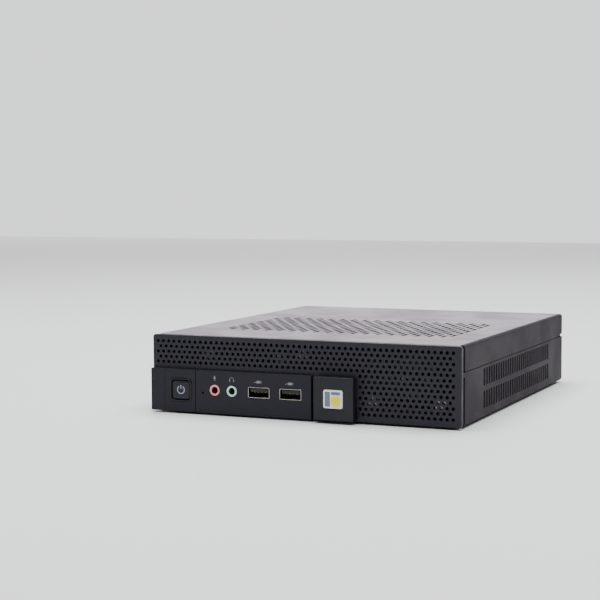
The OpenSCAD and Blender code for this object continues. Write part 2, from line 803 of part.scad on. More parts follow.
module panel_ribbon() color("#8a8d93") on_case() along_x(ribbon_x0, ribbon_x0 + ribbon_w) {
    y0 = port_board_y - 3;
    y1 = board_front + 4;
    top = max(port_board_top, board_top) + ribbon_rise;
    polygon([
        [y0 - ribbon_t, port_board_top], [y0, port_board_top], [y0, top - ribbon_t],
        [y1 - ribbon_t, top - ribbon_t], [y1 - ribbon_t, board_top], [y1, board_top], [y1, top],
        [y0 - ribbon_t, top]
    ]);
}

// ---- main board ----

module at_board_holes() for (s = [-1, 1], y = [hole_front_y, hole_rear_y])
    translate([s * board_hole_dx / 2, y, 0]) children();

module at_cooler() on_case() translate([cooler_x, cooler_y, 0]) children();

module main_board() color("#14532d") difference() {
    on_case() difference() {
        box([-main_board_w / 2, main_board_w / 2], [board_front, board_rear], [board_z, board_top]);
        at_board_holes() cylinder(r = 1.95, h = case_h);
    }
    at_cooler() at_corners(cooler_pitch, cooler_pitch) cylinder(r = 2, h = case_h);
}

module board_standoffs() color("#c8b273") on_case()
    for (s = [-1, 1], y = [hole_front_y, hole_rear_y])
        hex_spacer(s * board_hole_dx / 2, y, sheet_t, board_z, 6);

module board_screws() color("#b8b8bc") on_case()
    for (s = [-1, 1]) screw_down(s * board_hole_dx / 2, hole_front_y, board_top, 5.5);

module drive_posts() color("#c8b273") on_case()
    for (s = [-1, 1]) {
        hex_spacer(s * board_hole_dx / 2, hole_rear_y, board_top, bay_z, 5.5);
        screw_down(s * board_hole_dx / 2, hole_rear_y, bay_z + bay_t, bay_t + 4);
        rod_z(s * board_hole_dx / 2, hole_rear_y, m3_r, board_top - 5.5, board_top + 4);
    }

module cpu_socket() color("#cfcfd2") at_cooler() difference() {
    box([-socket_w / 2, socket_w / 2], [-socket_w / 2, socket_w / 2],
        [board_top, board_top + socket_t + socket_lip_t]);
    box([-cpu_w / 2 - 0.05, cpu_w / 2 + 0.05], [-cpu_w / 2 - 0.05, cpu_w / 2 + 0.05],
        [board_top + socket_t, case_h]);
}

module cpu() color("#b9bcc0") at_cooler() {
    box([-cpu_w / 2, cpu_w / 2], [-cpu_w / 2, cpu_w / 2],
        [board_top + socket_t, board_top + socket_t + cpu_plate_t]);
    box([-cpu_lid_w / 2, cpu_lid_w / 2], [-cpu_lid_w / 2, cpu_lid_w / 2],
        [board_top + socket_t + cpu_plate_t, sink_z]);
}

module heat_sink() color("#c9cbce") at_cooler() difference() {
    union() {
        box([-sink_w / 2, sink_w / 2], [-sink_w / 2, sink_w / 2], [sink_z, fin_z]);
        for (i = [0:fin_count - 1]) {
            x = (i - (fin_count - 1) / 2) * fin_pitch;
            box([x - fin_t / 2, x + fin_t / 2], [-sink_w / 2, sink_w / 2], [fin_z, fan_z]);
        }
    }
    at_corners(cooler_pitch, cooler_pitch) {
        cylinder(r = cooler_screw_r + 0.3, h = case_h);
        translate([0, 0, fin_z]) cylinder(r = cooler_head_r + 1.4, h = case_h);
    }
}

module cooler_screws() color("#b8b8bc") at_cooler() at_corners(cooler_pitch, cooler_pitch) {
    rod_z(0, 0, cooler_head_r, fin_z, fin_z + cooler_head_h);
    rod_z(0, 0, cooler_screw_r, board_z - 1.5, fin_z);
    rod_z(0, 0, cooler_head_r + 0.2, board_z - cooler_nut_h, board_z);
}

module fan_frame() color("#1d1d20") at_cooler() {
    difference() {
        translate([0, 0, fan_z]) linear_extrude(fan_h) round_rect(fan_w, fan_w, fan_corner_r);
        translate([0, 0, fan_z - 1]) cylinder(r = duct_r, h = fan_h + 2, $fn = 96);
        at_corners(fan_hole_pitch, fan_hole_pitch) {
            rod_z(0, 0, fan_screw_r + 0.2, fan_z - 1, case_h);
            rod_z(0, 0, fan_head_r + 0.2, fan_z + fan_h - fan_sunk, case_h);
        }
    }
    // Motor plate on four arms, and the bearing tube
    difference() {
        union() {
            rod_z(0, 0, hub_r - 1, fan_z, fan_z + motor_plate_t);
            for (a = [0:90:270]) rotate(a)
                box([hub_r - 3, duct_r + 0.5], [-motor_arm_w / 2, motor_arm_w / 2],
                    [fan_z, fan_z + motor_plate_t]);
            rod_z(0, 0, bearing_r, fan_z, bearing_top);
        }
        rod_z(0, 0, shaft_r + shaft_gap, fan_z + 0.8, case_h);
    }
}

module fan_stator() color("#a8652c") at_cooler() difference() {
    rod_z(0, 0, stator_r, fan_z + motor_plate_t, bearing_top - 1);
    rod_z(0, 0, bearing_r, fan_z, case_h);
}

module fan_rotor() color("#232327") at_cooler() {
    difference() {
        rod_z(0, 0, hub_r, hub_z, hub_top);
        rod_z(0, 0, hub_r - hub_wall, hub_z - 1, hub_top - hub_wall);
        rod_z(0, 0, shaft_r, hub_z, hub_top - 0.4);
    }
    intersection() {
        difference() {
            rod_z(0, 0, blade_r, hub_z, hub_top);
            rod_z(0, 0, hub_r - 0.5, hub_z - 1, case_h);
        }
        for (i = [0:blade_count - 1]) rotate(i * 360 / blade_count)
            translate([blade_r / 2 + 5, 0, (hub_z + hub_top) / 2]) rotate([blade_tilt, 0, 0])
                cube([blade_r + 10, 2 * fan_h + 10, blade_t], center = true);
    }
}

module fan_shaft() color("#d5d5d8") at_cooler() rod_z(0, 0, shaft_r, fan_z + 1.1, hub_top - 0.4);

module fan_screws() color("#b8b8bc") at_cooler() at_corners(fan_hole_pitch, fan_hole_pitch) {
    rod_z(0, 0, fan_head_r, fan_z + fan_h - fan_sunk, fan_z + fan_h - fan_sunk + fan_head_h);
    rod_z(0, 0, fan_screw_r, fan_z - 5, fan_z + fan_h - fan_sunk);
}

module at_memory() on_case() translate([memory_x, cooler_y - memory_l / 2, board_top]) children();

module memory_sockets() color("#e4e0d2") at_memory() difference() {
    union() {
        box([0, 6], [0, memory_l], [0, 4.6]);
        box([2.5, 6], [0, memory_l], [4.6, 9.8]);
        box([0, 2.5], [0, memory_l], [6, 9.8]);
    }
    for (z = memory_z) box([-1, 3.5], [3, memory_l - 3], [z, z + module_t]);
}

module memory_modules() color("#176b3a") at_memory()
    for (z = memory_z) {
        box([-module_reach, 3.4], [3.2, memory_l - 3.2], [z, z + module_t]);
        for (i = [0:3]) box([-22, -9], [7 + i * 16, 18 + i * 16], [z + module_t, z + module_t + chip_t]);
    }

module m2_drive() color("#1a4f8a") on_case() translate([m2_x, board_front + 12, board_top]) {
    // Edge socket, module with its chips, and the screw at the far end
    m2_top = m2_z + m2_board_t;
    box([-m2_w / 2, m2_w / 2], [0, 6], [0, m2_socket_t]);
    box([-m2_w / 2, m2_w / 2], [6, m2_l], [m2_z, m2_top]);
    for (y = [14, 34, 54]) box([-8, 8], [y, y + 14], [m2_top, m2_top + m2_chip_t]);
    rod_z(0, m2_l - 3, 2.6, 0, m2_z);
    rod_z(0, m2_l - 3, 2.6, m2_top, m2_top + 1.2);
}

module at_coin_cell() on_case() translate([20, drive_y + 8, board_top]) children();

module coin_cell_holder() color("#1b1b1f") at_coin_cell() difference() {
    cylinder(r = cell_r + cell_gap + holder_wall, h = holder_floor_t + cell_t);
    translate([0, 0, holder_floor_t]) cylinder(r = cell_r + cell_gap, h = cell_t + 1);
}

module coin_cell() color("#c7c8cc") at_coin_cell()
    translate([0, 0, holder_floor_t]) cylinder(r = cell_r, h = cell_t);

module chipset_sink() color("#9a9ca1") on_case() translate([58, drive_y + 34, board_top]) {
    box([-chipset_w / 2, chipset_w / 2], [-chipset_w / 2, chipset_w / 2], [0, chipset_t]);
    box([-chipset_sink_w / 2, chipset_sink_w / 2], [-chipset_sink_w / 2, chipset_sink_w / 2],
        [chipset_t, chipset_t + 2]);
    for (i = [-4:4]) box([i * 4 - 0.5, i * 4 + 0.5], [-chipset_sink_w / 2, chipset_sink_w / 2],
        [chipset_t + 2, chipset_sink_h]);
}

module power_chokes() color("#4a4d52") on_case()
    for (i = [0:5]) translate([-48 + i * choke_pitch, drive_y, board_top])
        box([-choke_w / 2, choke_w / 2], [-choke_w / 2, choke_w / 2], [0, choke_h]);

module capacitors() color("#6d7177") on_case()
    for (i = [0:6]) translate([-50 + i * capacitor_pitch, drive_y + 12, board_top])
        cylinder(r = capacitor_r, h = capacitor_h);

// ---- drive bay ----

module drive_holes() on_case()
    translate([drive_x + drive_l / 2, drive_y + drive_w / 2, 0]) at_corners(drive_hole_dx, drive_hole_dy)
        children();

module drive_bracket() color("#b4b6ba") difference() {
    on_case() difference() {
        union() {
            box([-bay_half_w, bay_half_w], [drive_y - 2, hole_rear_y + 5], [bay_z, bay_z + bay_t]);
            for (s = [-1, 1]) {
                translate([s * (bay_leg_x + bay_t / 2 - bay_leg_w / 2), 0, 0])
                    box([-bay_leg_w / 2, bay_leg_w / 2], bay_leg_y, [bay_z, bay_z + bay_t]);
                translate([s * bay_leg_x, 0, 0])
                    box([-bay_t / 2, bay_t / 2], bay_leg_y, [sheet_t, bay_z + bay_t]);
            }
        }
        box([drive_x + drive_l + 6, 72], [drive_y + 6, drive_y + drive_w - 8], [0, case_h]);
        box([drive_x + 20, drive_x + drive_l - 20], [drive_y + 10, drive_y + drive_w - 10], [0, case_h]);
        for (s = [-1, 1]) rod_z(s * bay_post_x, hole_rear_y, m3_r + fit_gap, 0, case_h);
    }
    drive_holes() cylinder(r = m3_r + fit_gap, h = case_h);
}

module storage_drive() color("#3a3c42") difference() {
    on_case() box([drive_x, drive_x + drive_l], [drive_y, drive_y + drive_w], [drive_z, drive_z + drive_h]);
    drive_holes() rod_z(0, 0, m3_r, drive_z - 1, drive_z + drive_hole_deep);
    on_case() rod_z(-bay_post_x, hole_rear_y, m3_head_r + 1, 0, case_h);
}

module drive_screws() color("#b8b8bc") drive_holes() {
    rod_z(0, 0, m3_head_r, bay_z - 1.4, bay_z);
    rod_z(0, 0, m3_r, bay_z, drive_z + drive_hole_deep - 0.4);
}

// ---- rear ports ----

module port_block(x, w, h, l) box([x - w / 2, x + w / 2], [port_end - l, port_end], [board_top, board_top + h]);

module port_cut(x, w, h)
    translate([x - w / 2 - fit_gap, board_top - fit_gap]) square([w + 2 * fit_gap, h + 2 * fit_gap]);

module shield_cuts() {
    for (p = [dc_port, dp_port, hdmi_port]) port_cut(p[0], p[1], p[2]);
    for (x = usb_ports) port_cut(x, usb_stack_w, usb_stack_h);
    for (x = lan_ports) port_cut(x, lan_w, lan_h);
    for (x = audio_ports) port_cut(x, audio_w, audio_h);
}

module port_shield() color("#c4c6ca") on_case() {
    along_y(shield_y, case_d - sheet_t) difference() {
        translate([-shield_w / 2 - 1.5, shield_z - 1.5]) square([shield_w + 3, shield_h + 3]);
        shield_cuts();
    }
    along_y(case_d - sheet_t, case_d) difference() {
        translate([-shield_w / 2 + 0.1, shield_z + 0.1]) square([shield_w - 0.2, shield_h - 0.2]);
        shield_cuts();
    }
}

module dc_inlet() color("#1b1b1f") on_case() {
    z = board_top + 6.2;
    difference() {
        port_block(dc_port[0], dc_port[1], dc_port[2], 14);
        rod_y(dc_port[0], z, 3.15, port_end - 10, port_end + 1);
    }
    rod_y(dc_port[0], z, 1.25, port_end - 10 - tiny, port_end - 0.8);
}

// A shell with a mouth to the rear and a tongue in it
module video_port(p, tongue_w, tongue_t) {
    difference() {
        port_block(p[0], p[1], p[2], 12);
        box([p[0] - p[1] / 2 + 0.5, p[0] + p[1] / 2 - 0.5], [port_end - 9, port_end + 1],
            [board_top + 0.5, board_top + p[2] - 0.5]);
    }
    box([p[0] - tongue_w / 2, p[0] + tongue_w / 2], [port_end - 9 - tiny, port_end - 1.2],
        [board_top + p[2] / 2 - tongue_t / 2, board_top + p[2] / 2 + tongue_t / 2]);
}

module video_ports() color("#3c3e44") on_case() {
    video_port(dp_port, 12, 1.6);
    video_port(hdmi_port, 10.5, 1.2);
}

module rear_usb_shells() color("#c4c4c8") on_case() difference() {
    for (x = usb_ports) port_block(x, usb_stack_w, usb_stack_h, usb_stack_l);
    for (x = usb_ports, z = usb_floor_z)
        box([x - usb_w / 2, x + usb_w / 2], [port_end - 13, port_end + 1],
            [board_top + z - 1 + 0.5, board_top + z - 1 + 0.5 + usb_h]);
}

module rear_usb_inserts() color("#1c4fa0") on_case()
    for (x = usb_ports, z = usb_floor_z)
        box([x - tongue_w / 2, x + tongue_w / 2], [port_end - 13, port_end - 1],
            [board_top + z + 2.2, board_top + z + 2.2 + tongue_t]);

module lan_jacks() color("#b9bbc0") on_case() difference() {
    for (x = lan_ports) port_block(x, lan_w, lan_h, lan_l);
    for (x = lan_ports) {
        box([x - lan_mouth_w / 2, x + lan_mouth_w / 2], [port_end - 14, port_end + 1],
            [board_top + 1.6, board_top + 1.6 + lan_mouth_h]);
        box([x - 3, x + 3], [port_end - 14, port_end + 1],
            [board_top + 1.6 + lan_mouth_h - tiny, board_top + 1.6 + lan_mouth_h + 1.6]);
    }
}

module rear_audio_jacks() color("#2a2b30") on_case() difference() {
    for (x = audio_ports) port_block(x, audio_w, audio_h, 14);
    for (x = audio_ports) rod_y(x, board_top + audio_h / 2, jack_bore_d / 2, port_end - 12, port_end + 1);
}

// ---- nodes ----

top_cover();
chassis_tray();
front_bezel();
port_panel();
badge_block();
badge_plate();
button_frame();
power_button();
power_icon();
power_switch();
power_plunger();
reset_switch();
reset_plunger();
power_led();
port_board();
port_board_standoffs();
port_board_screws();
mic_jack_ring();
mic_jack_body();
headphone_jack_ring();
headphone_jack_body();
usb_shell_left();
usb_shell_right();
usb_inserts();
usb_contacts();
panel_ribbon();
bezel_clips();
main_board();
board_standoffs();
board_screws();
drive_posts();
cpu_socket();
cpu();
heat_sink();
cooler_screws();
fan_frame();
fan_stator();
fan_rotor();
fan_shaft();
fan_screws();
memory_sockets();
memory_modules();
m2_drive();
coin_cell_holder();
coin_cell();
chipset_sink();
power_chokes();
capacitors();
drive_bracket();
storage_drive();
drive_screws();
port_shield();
dc_inlet();
video_ports();
rear_usb_shells();
rear_usb_inserts();
lan_jacks();
rear_audio_jacks();
cover_screws();
rubber_feet();
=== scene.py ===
# %% [markdown]
# A slim desktop mini pc
#
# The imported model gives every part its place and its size. This script adds what the eye
# needs: rounded edges, perforated sheets, printed symbols and a material for every finish.
# Each step starts with a few sentences on the real piece, the ways it could be made in
# Blender, and the reason for the way chosen here.

# %% Load the frame
import json
import math
from collections import namedtuple
from functools import partial
import bmesh
import bpy
from mathutils import Matrix, Vector
from mathutils.geometry import tessellate_polygon


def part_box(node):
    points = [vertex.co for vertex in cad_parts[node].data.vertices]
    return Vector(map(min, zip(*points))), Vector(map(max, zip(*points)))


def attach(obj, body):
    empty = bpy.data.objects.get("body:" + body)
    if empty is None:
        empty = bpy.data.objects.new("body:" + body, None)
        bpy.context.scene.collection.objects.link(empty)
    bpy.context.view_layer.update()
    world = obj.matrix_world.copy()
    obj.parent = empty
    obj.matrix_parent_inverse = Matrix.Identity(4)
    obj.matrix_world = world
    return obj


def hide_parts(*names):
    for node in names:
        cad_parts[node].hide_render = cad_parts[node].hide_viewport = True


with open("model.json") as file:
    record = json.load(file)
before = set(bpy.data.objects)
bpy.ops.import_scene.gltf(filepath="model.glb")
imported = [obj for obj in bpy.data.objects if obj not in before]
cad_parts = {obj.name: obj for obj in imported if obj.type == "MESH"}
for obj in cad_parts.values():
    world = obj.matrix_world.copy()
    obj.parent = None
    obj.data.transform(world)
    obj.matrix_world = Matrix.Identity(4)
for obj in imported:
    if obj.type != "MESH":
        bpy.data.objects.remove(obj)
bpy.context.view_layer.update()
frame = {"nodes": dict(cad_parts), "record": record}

# %% [markdown]
# Units and places
#
# The frame is in metres, and a mini pc is measured in millimetres. So every size below is
# in millimetres, and one function turns a place on the case into metres. X is measured from
# the middle, Y from the face of the grille towards the rear, and Z from the underside.

# %% Units and places
MM = 0.001
bezel_low, bezel_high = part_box("front_bezel")
face_y = bezel_low[1]
base_z = bezel_low[2]


def at(x, y, z):
    """A place on the case, in metres."""
    return Vector((x * MM, face_y + y * MM, base_z + z * MM))


Part = namedtuple("Part", "low high mid w h")


def span(node):
    """Corners, middle, width and height of a part, in case millimetres."""
    low, high = [Vector((p[0] / MM, (p[1] - face_y) / MM, (p[2] - base_z) / MM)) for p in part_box(node)]
    return Part(low, high, (low + high) / 2, high.x - low.x, high.z - low.z)


case_w = (bezel_high[0] - bezel_low[0]) / MM
case_h = (bezel_high[2] - bezel_low[2]) / MM
case_d = span("top_cover").high.y
neck_d = span("front_bezel").high.y
print(f"case {case_w:.1f} x {case_d:.1f} x {case_h:.1f} mm")

# %% [markdown]
# Camera
#
# A product picture is taken from a little way off with a long lens, so that the box keeps
# straight, calm edges. The camera here stands about 0.9 m away, to the right of the front
# and above the lid, and it looks slightly past the object, which sits low in the frame.

# %% Camera
camera_place = Vector((0.3429, -0.8694, 0.1333))
camera_azimuth = math.radians(24.217)
camera_elevation = math.radians(4.446)
camera_roll = math.radians(-0.303)

camera_data = bpy.data.cameras.new("camera")
camera_data.lens = 89.56
camera_data.sensor_width = 36
camera = bpy.data.objects.new("camera", camera_data)
camera.matrix_world = (
    Matrix.Translation(camera_place)
    @ Matrix.Rotation(camera_azimuth, 4, "Z")
    @ Matrix.Rotation(math.pi / 2 - camera_elevation, 4, "X")
    @ Matrix.Rotation(camera_roll, 4, "Z")
)
bpy.context.collection.objects.link(camera)
bpy.context.scene.camera = camera

# %% [markdown]
# Floor and light
#
# Dark plastic shows its shape only by what it reflects. A big soft lamp overhead makes the
# desk white, and a wide lamp behind the case gives the lid its pale sheen at a low angle.
# The surround stays dim, so that the front and the side keep their dark tones, and only the
# camera sees it as a pale wall.

# %% Floor and light
FLOOR_HALF = 2.4
FLOOR_COLOUR = (0.86, 0.88, 0.87, 1)
FLOOR_ROUGHNESS = 0.6


def stage_floor():
    """A wide pale floor that ends in the tone of the backdrop."""
    mesh = bpy.data.meshes.new("floor")
    corners = [(x * FLOOR_HALF, y * FLOOR_HALF, 0) for x, y in ((-1, -1), (1, -1), (1, 1), (-1, 1))]
    mesh.from_pydata(corners, [], [(0, 1, 2, 3)])
    floor = bpy.data.objects.new("floor", mesh)
    bpy.context.collection.objects.link(floor)
    desk = bpy.data.materials.new("floor_paint")
    desk.use_nodes = True
    shader = desk.node_tree.nodes["Principled BSDF"]
    shader.inputs["Base Color"].default_value = FLOOR_COLOUR
    shader.inputs["Roughness"].default_value = FLOOR_ROUGHNESS
    mesh.materials.append(desk)


def soft_lamp(name, place, target, size, power, tint=(1, 1, 1)):
    """A rectangular lamp, given by its width and height, that faces its target."""
    lamp = bpy.data.lights.new(name, "AREA")
    lamp.shape = "RECTANGLE"
    lamp.size, lamp.size_y = size
    lamp.energy = power
    lamp.color = tint
    holder = bpy.data.objects.new(name, lamp)
    holder.location = place
    holder.rotation_euler = (Vector(target) - Vector(place)).to_track_quat("-Z", "Y").to_euler()
    holder.visible_camera = False
    bpy.context.collection.objects.link(holder)


stage_floor()
soft_lamp("key_lamp", (0.0, 0.1, 1.5), (0, 0, 0), (1.6, 1.6), 56)
soft_lamp("back_lamp", (-1.3, 2.6, 0.75), (0, 0, 0.1), (4.5, 1.5), 34, (1.0, 0.94, 1.0))
surround = bpy.data.worlds.new("surround")
surround.use_nodes = True
sky = surround.node_tree
dim = sky.nodes["Background"]
backdrop = sky.nodes.new("ShaderNodeBackground")
for tone, colour, strength in ((dim, (0.93, 0.95, 1.0, 1), 0.3), (backdrop, (0.97, 0.985, 1.0, 1), 1.45)):
    tone.inputs["Color"].default_value = colour
    tone.inputs["Strength"].default_value = strength
seen = sky.nodes.new("ShaderNodeMixShader")
sky.links.new(sky.nodes.new("ShaderNodeLightPath").outputs["Is Camera Ray"], seen.inputs[0])
sky.links.new(dim.outputs[0], seen.inputs[1])
sky.links.new(backdrop.outputs[0], seen.inputs[2])
sky.links.new(seen.outputs[0], sky.nodes["World Output"].inputs["Surface"])
bpy.context.scene.world = surround

# %% [markdown]
# Shared surface effects
#
# Three effects show on almost every finish: a fine grain, edges rubbed lighter by handling,
# and a little dust on what faces up. Each is a shader node group, so that a material only
# states its own values. Wear could follow the mesh's pointiness, but that depends on how
# finely a piece is cut. A Bevel node gives a rounded normal at every edge instead, and its
# difference from the true normal is a clean edge mask on any mesh.

# %% Shader group helpers
def new_group(name, numbers, outputs):
    """An empty shader group with float inputs {name: default} and outputs {name: socket type}."""
    group = bpy.data.node_groups.new(name, "ShaderNodeTree")
    for label, default in numbers.items():
        socket = group.interface.new_socket(label, in_out="INPUT", socket_type="NodeSocketFloat")
        socket.default_value = default
    for label, kind in outputs.items():
        group.interface.new_socket(label, in_out="OUTPUT", socket_type=kind)
    return group, group.nodes.new("NodeGroupInput"), group.nodes.new("NodeGroupOutput")


def node(tree, kind, inputs=None, **settings):
    """A node with its settings and with its inputs set or linked, by name or number."""
    made = tree.nodes.new(kind)
    for key, value in settings.items():
        setattr(made, key, value)
    for key, value in (inputs or {}).items():
        if isinstance(value, bpy.types.NodeSocket):
            tree.links.new(value, made.inputs[key])
        else:
            made.inputs[key].default_value = value
    return made


def maths(tree, operation, *values, clamp=False):
    """One Math node's result."""
    made = node(tree, "ShaderNodeMath", dict(enumerate(values)), operation=operation, use_clamp=clamp)
    return made.outputs[0]


def mix(tree, factor, first, second):
    """One colour blended into another."""
    made = node(tree, "ShaderNodeMix", {0: factor, 6: first, 7: second}, data_type="RGBA")
    return made.outputs[2]


def noise(tree, place, scale, detail, roughness=0.5):
    """The value of a Noise texture."""
    numbers = {"Vector": place, "Scale": scale, "Detail": detail, "Roughness": roughness}
    return node(tree, "ShaderNodeTexNoise", numbers).outputs["Fac"]


def own_place(tree):
    """Object coordinates, which stay with the piece when it moves."""
    return node(tree, "ShaderNodeTexCoord").outputs["Object"]


def up(tree, vector):
    """The vertical part of a vector."""
    return node(tree, "ShaderNodeSeparateXYZ", {0: vector}).outputs["Z"]


def remap(tree, value, low, high, to_low=0.0, to_high=1.0):
    """A value carried smoothly from one range to another and held at its ends."""
    made = node(
        tree, "ShaderNodeMapRange",
        {"Value": value, "From Min": low, "From Max": high, "To Min": to_low, "To Max": to_high},
        interpolation_type="SMOOTHSTEP",
    )
    return made.outputs["Result"]


# %% Fine grain
# Height for a bump, and a slow cloud that makes the gloss uneven
grain, given, result = new_group(
    "fine_grain",
    {"Grain Size": 0.0004, "Cloud Size": 0.03, "Stretch X": 1.0, "Stretch Y": 1.0},
    {"Height": "NodeSocketFloat", "Cloud": "NodeSocketFloat"},
)
place = own_place(grain)
given = given.outputs
stretch = node(grain, "ShaderNodeCombineXYZ", {"X": given["Stretch X"], "Y": given["Stretch Y"], "Z": 1.0})
drawn = node(grain, "ShaderNodeVectorMath", {0: place, 1: stretch.outputs[0]}, operation="MULTIPLY")
grain_scale = maths(grain, "DIVIDE", 1.0, given["Grain Size"])
cloud_scale = maths(grain, "DIVIDE", 1.0, given["Cloud Size"])
grain.links.new(noise(grain, drawn.outputs[0], grain_scale, 2.0, 0.6), result.inputs["Height"])
cloud = noise(grain, place, cloud_scale, 4.0, 0.55)
grain.links.new(remap(grain, cloud, 0.3, 0.7), result.inputs["Cloud"])

# %% Rubbed edges
# 1 on a narrow, broken line along every outside edge
rubbed, given, result = new_group(
    "rubbed_edges", {"Width": 0.0004, "Amount": 0.5}, {"Mask": "NodeSocketFloat"},
)
bevel = node(rubbed, "ShaderNodeBevel", {"Radius": given.outputs["Width"]}, samples=4).outputs["Normal"]
flat = node(rubbed, "ShaderNodeNewGeometry").outputs["Normal"]
alike = node(rubbed, "ShaderNodeVectorMath", {0: bevel, 1: flat}, operation="DOT_PRODUCT")
edge = remap(rubbed, alike.outputs["Value"], 0.995, 0.85)
broken = noise(rubbed, own_place(rubbed), 260.0, 3.0)
worn = maths(rubbed, "MULTIPLY", edge, remap(rubbed, broken, 0.35, 0.62))
worn = maths(rubbed, "MULTIPLY", worn, given.outputs["Amount"], clamp=True)
rubbed.links.new(worn, result.inputs["Mask"])

# %% Settled dust
# 1 where specks and a thin film lie on what faces up
dust, given, result = new_group("settled_dust", {"Amount": 0.3}, {"Mask": "NodeSocketFloat"})
lying = remap(dust, up(dust, node(dust, "ShaderNodeNewGeometry").outputs["Normal"]), 0.6, 0.95)
place = own_place(dust)
specks = remap(dust, noise(dust, place, 2400.0, 1.0), 0.7, 0.78)
film = maths(dust, "MULTIPLY", remap(dust, noise(dust, place, 45.0, 5.0), 0.4, 0.8), 0.25)
masked = maths(dust, "MULTIPLY", maths(dust, "ADD", specks, film), lying)
masked = maths(dust, "MULTIPLY", masked, given.outputs["Amount"], clamp=True)
dust.links.new(masked, result.inputs["Mask"])
print("shader groups:", grain.name, rubbed.name, dust.name)

# %% [markdown]
# Finishes
#
# Every finish here is a Principled shader with the same three effects and its own numbers:
# powder coat has a coarse orange peel, moulded plastic a fine spark-eroded grain, and metal
# a grain drawn out along its rolling direction. What is the same all over the surface is set
# on the shader, and what varies comes from the groups.

# %% A finish with grain, wear and dust
MOTTLE = 0.06
COAT_ROUGHNESS = 0.12
DUST_COLOUR = (0.42, 0.41, 0.39, 1)
DUST_ROUGHNESS = 0.3
# Painted shade: the dark colour that the slot walls fade into, and the height over which it fades in
SLOT_WALL_SHADE_COLOUR = (0.008, 0.008, 0.009, 1)
SLOT_WALL_SHADE_FADE = 0.06


def finish(name, colour, rough, grain_mm, bump, metal=0.0, stretch=(1, 1), wear=0.4, dusty=0.15, coat=0.0,
           specular=0.5, shade_below=None):
    """A material in which grain, rubbed edges and dust change colour, gloss and relief.

    Below the height shade_below, in case millimetres, the paint fades into painted shade, which darkens the
    walls of the slots cut through the sheet.
    """
    made = bpy.data.materials.new(name + "_finish")
    made.use_nodes = True
    tree = made.node_tree
    shader = tree.nodes["Principled BSDF"]
    shader.inputs["Metallic"].default_value = metal
    shader.inputs["Specular IOR Level"].default_value = specular
    shader.inputs["Coat Weight"].default_value = coat
    shader.inputs["Coat Roughness"].default_value = COAT_ROUGHNESS
    surface = node(
        tree, "ShaderNodeGroup",
        {"Grain Size": grain_mm * MM, "Stretch X": stretch[0], "Stretch Y": stretch[1]},
        node_tree=grain,
    ).outputs
    worn = node(tree, "ShaderNodeGroup", {"Amount": wear}, node_tree=rubbed).outputs["Mask"]
    settled = node(tree, "ShaderNodeGroup", {"Amount": dusty}, node_tree=dust).outputs["Mask"]
    dark = [c * (1 - MOTTLE) for c in colour] + [1]
    light = [min(1, c * (1 + MOTTLE)) for c in colour] + [1]
    rubbed_light = [min(1, c * 1.9 + 0.03) for c in colour] + [1]
    base = mix(tree, surface["Cloud"], dark, light)
    base = mix(tree, worn, base, rubbed_light)
    base = mix(tree, settled, base, DUST_COLOUR)
    # Painted shade: below shade_below the colour darkens, in place of the shade inside the slots
    if shade_below:
        level = base_z + shade_below * MM
        below = remap(tree, up(tree, own_place(tree)), level, level - SLOT_WALL_SHADE_FADE * MM)
        base = mix(tree, below, base, SLOT_WALL_SHADE_COLOUR)
    tree.links.new(base, shader.inputs["Base Color"])
    gloss = remap(tree, surface["Cloud"], 0, 1, rough[0], rough[1])
    gloss = maths(tree, "ADD", gloss, maths(tree, "MULTIPLY", settled, DUST_ROUGHNESS), clamp=True)
    tree.links.new(gloss, shader.inputs["Roughness"])
    relief = node(
        tree, "ShaderNodeBump",
        {"Height": surface["Height"], "Strength": bump, "Distance": grain_mm * MM * 0.25},
    )
    tree.links.new(relief.outputs["Normal"], shader.inputs["Normal"])
    return made


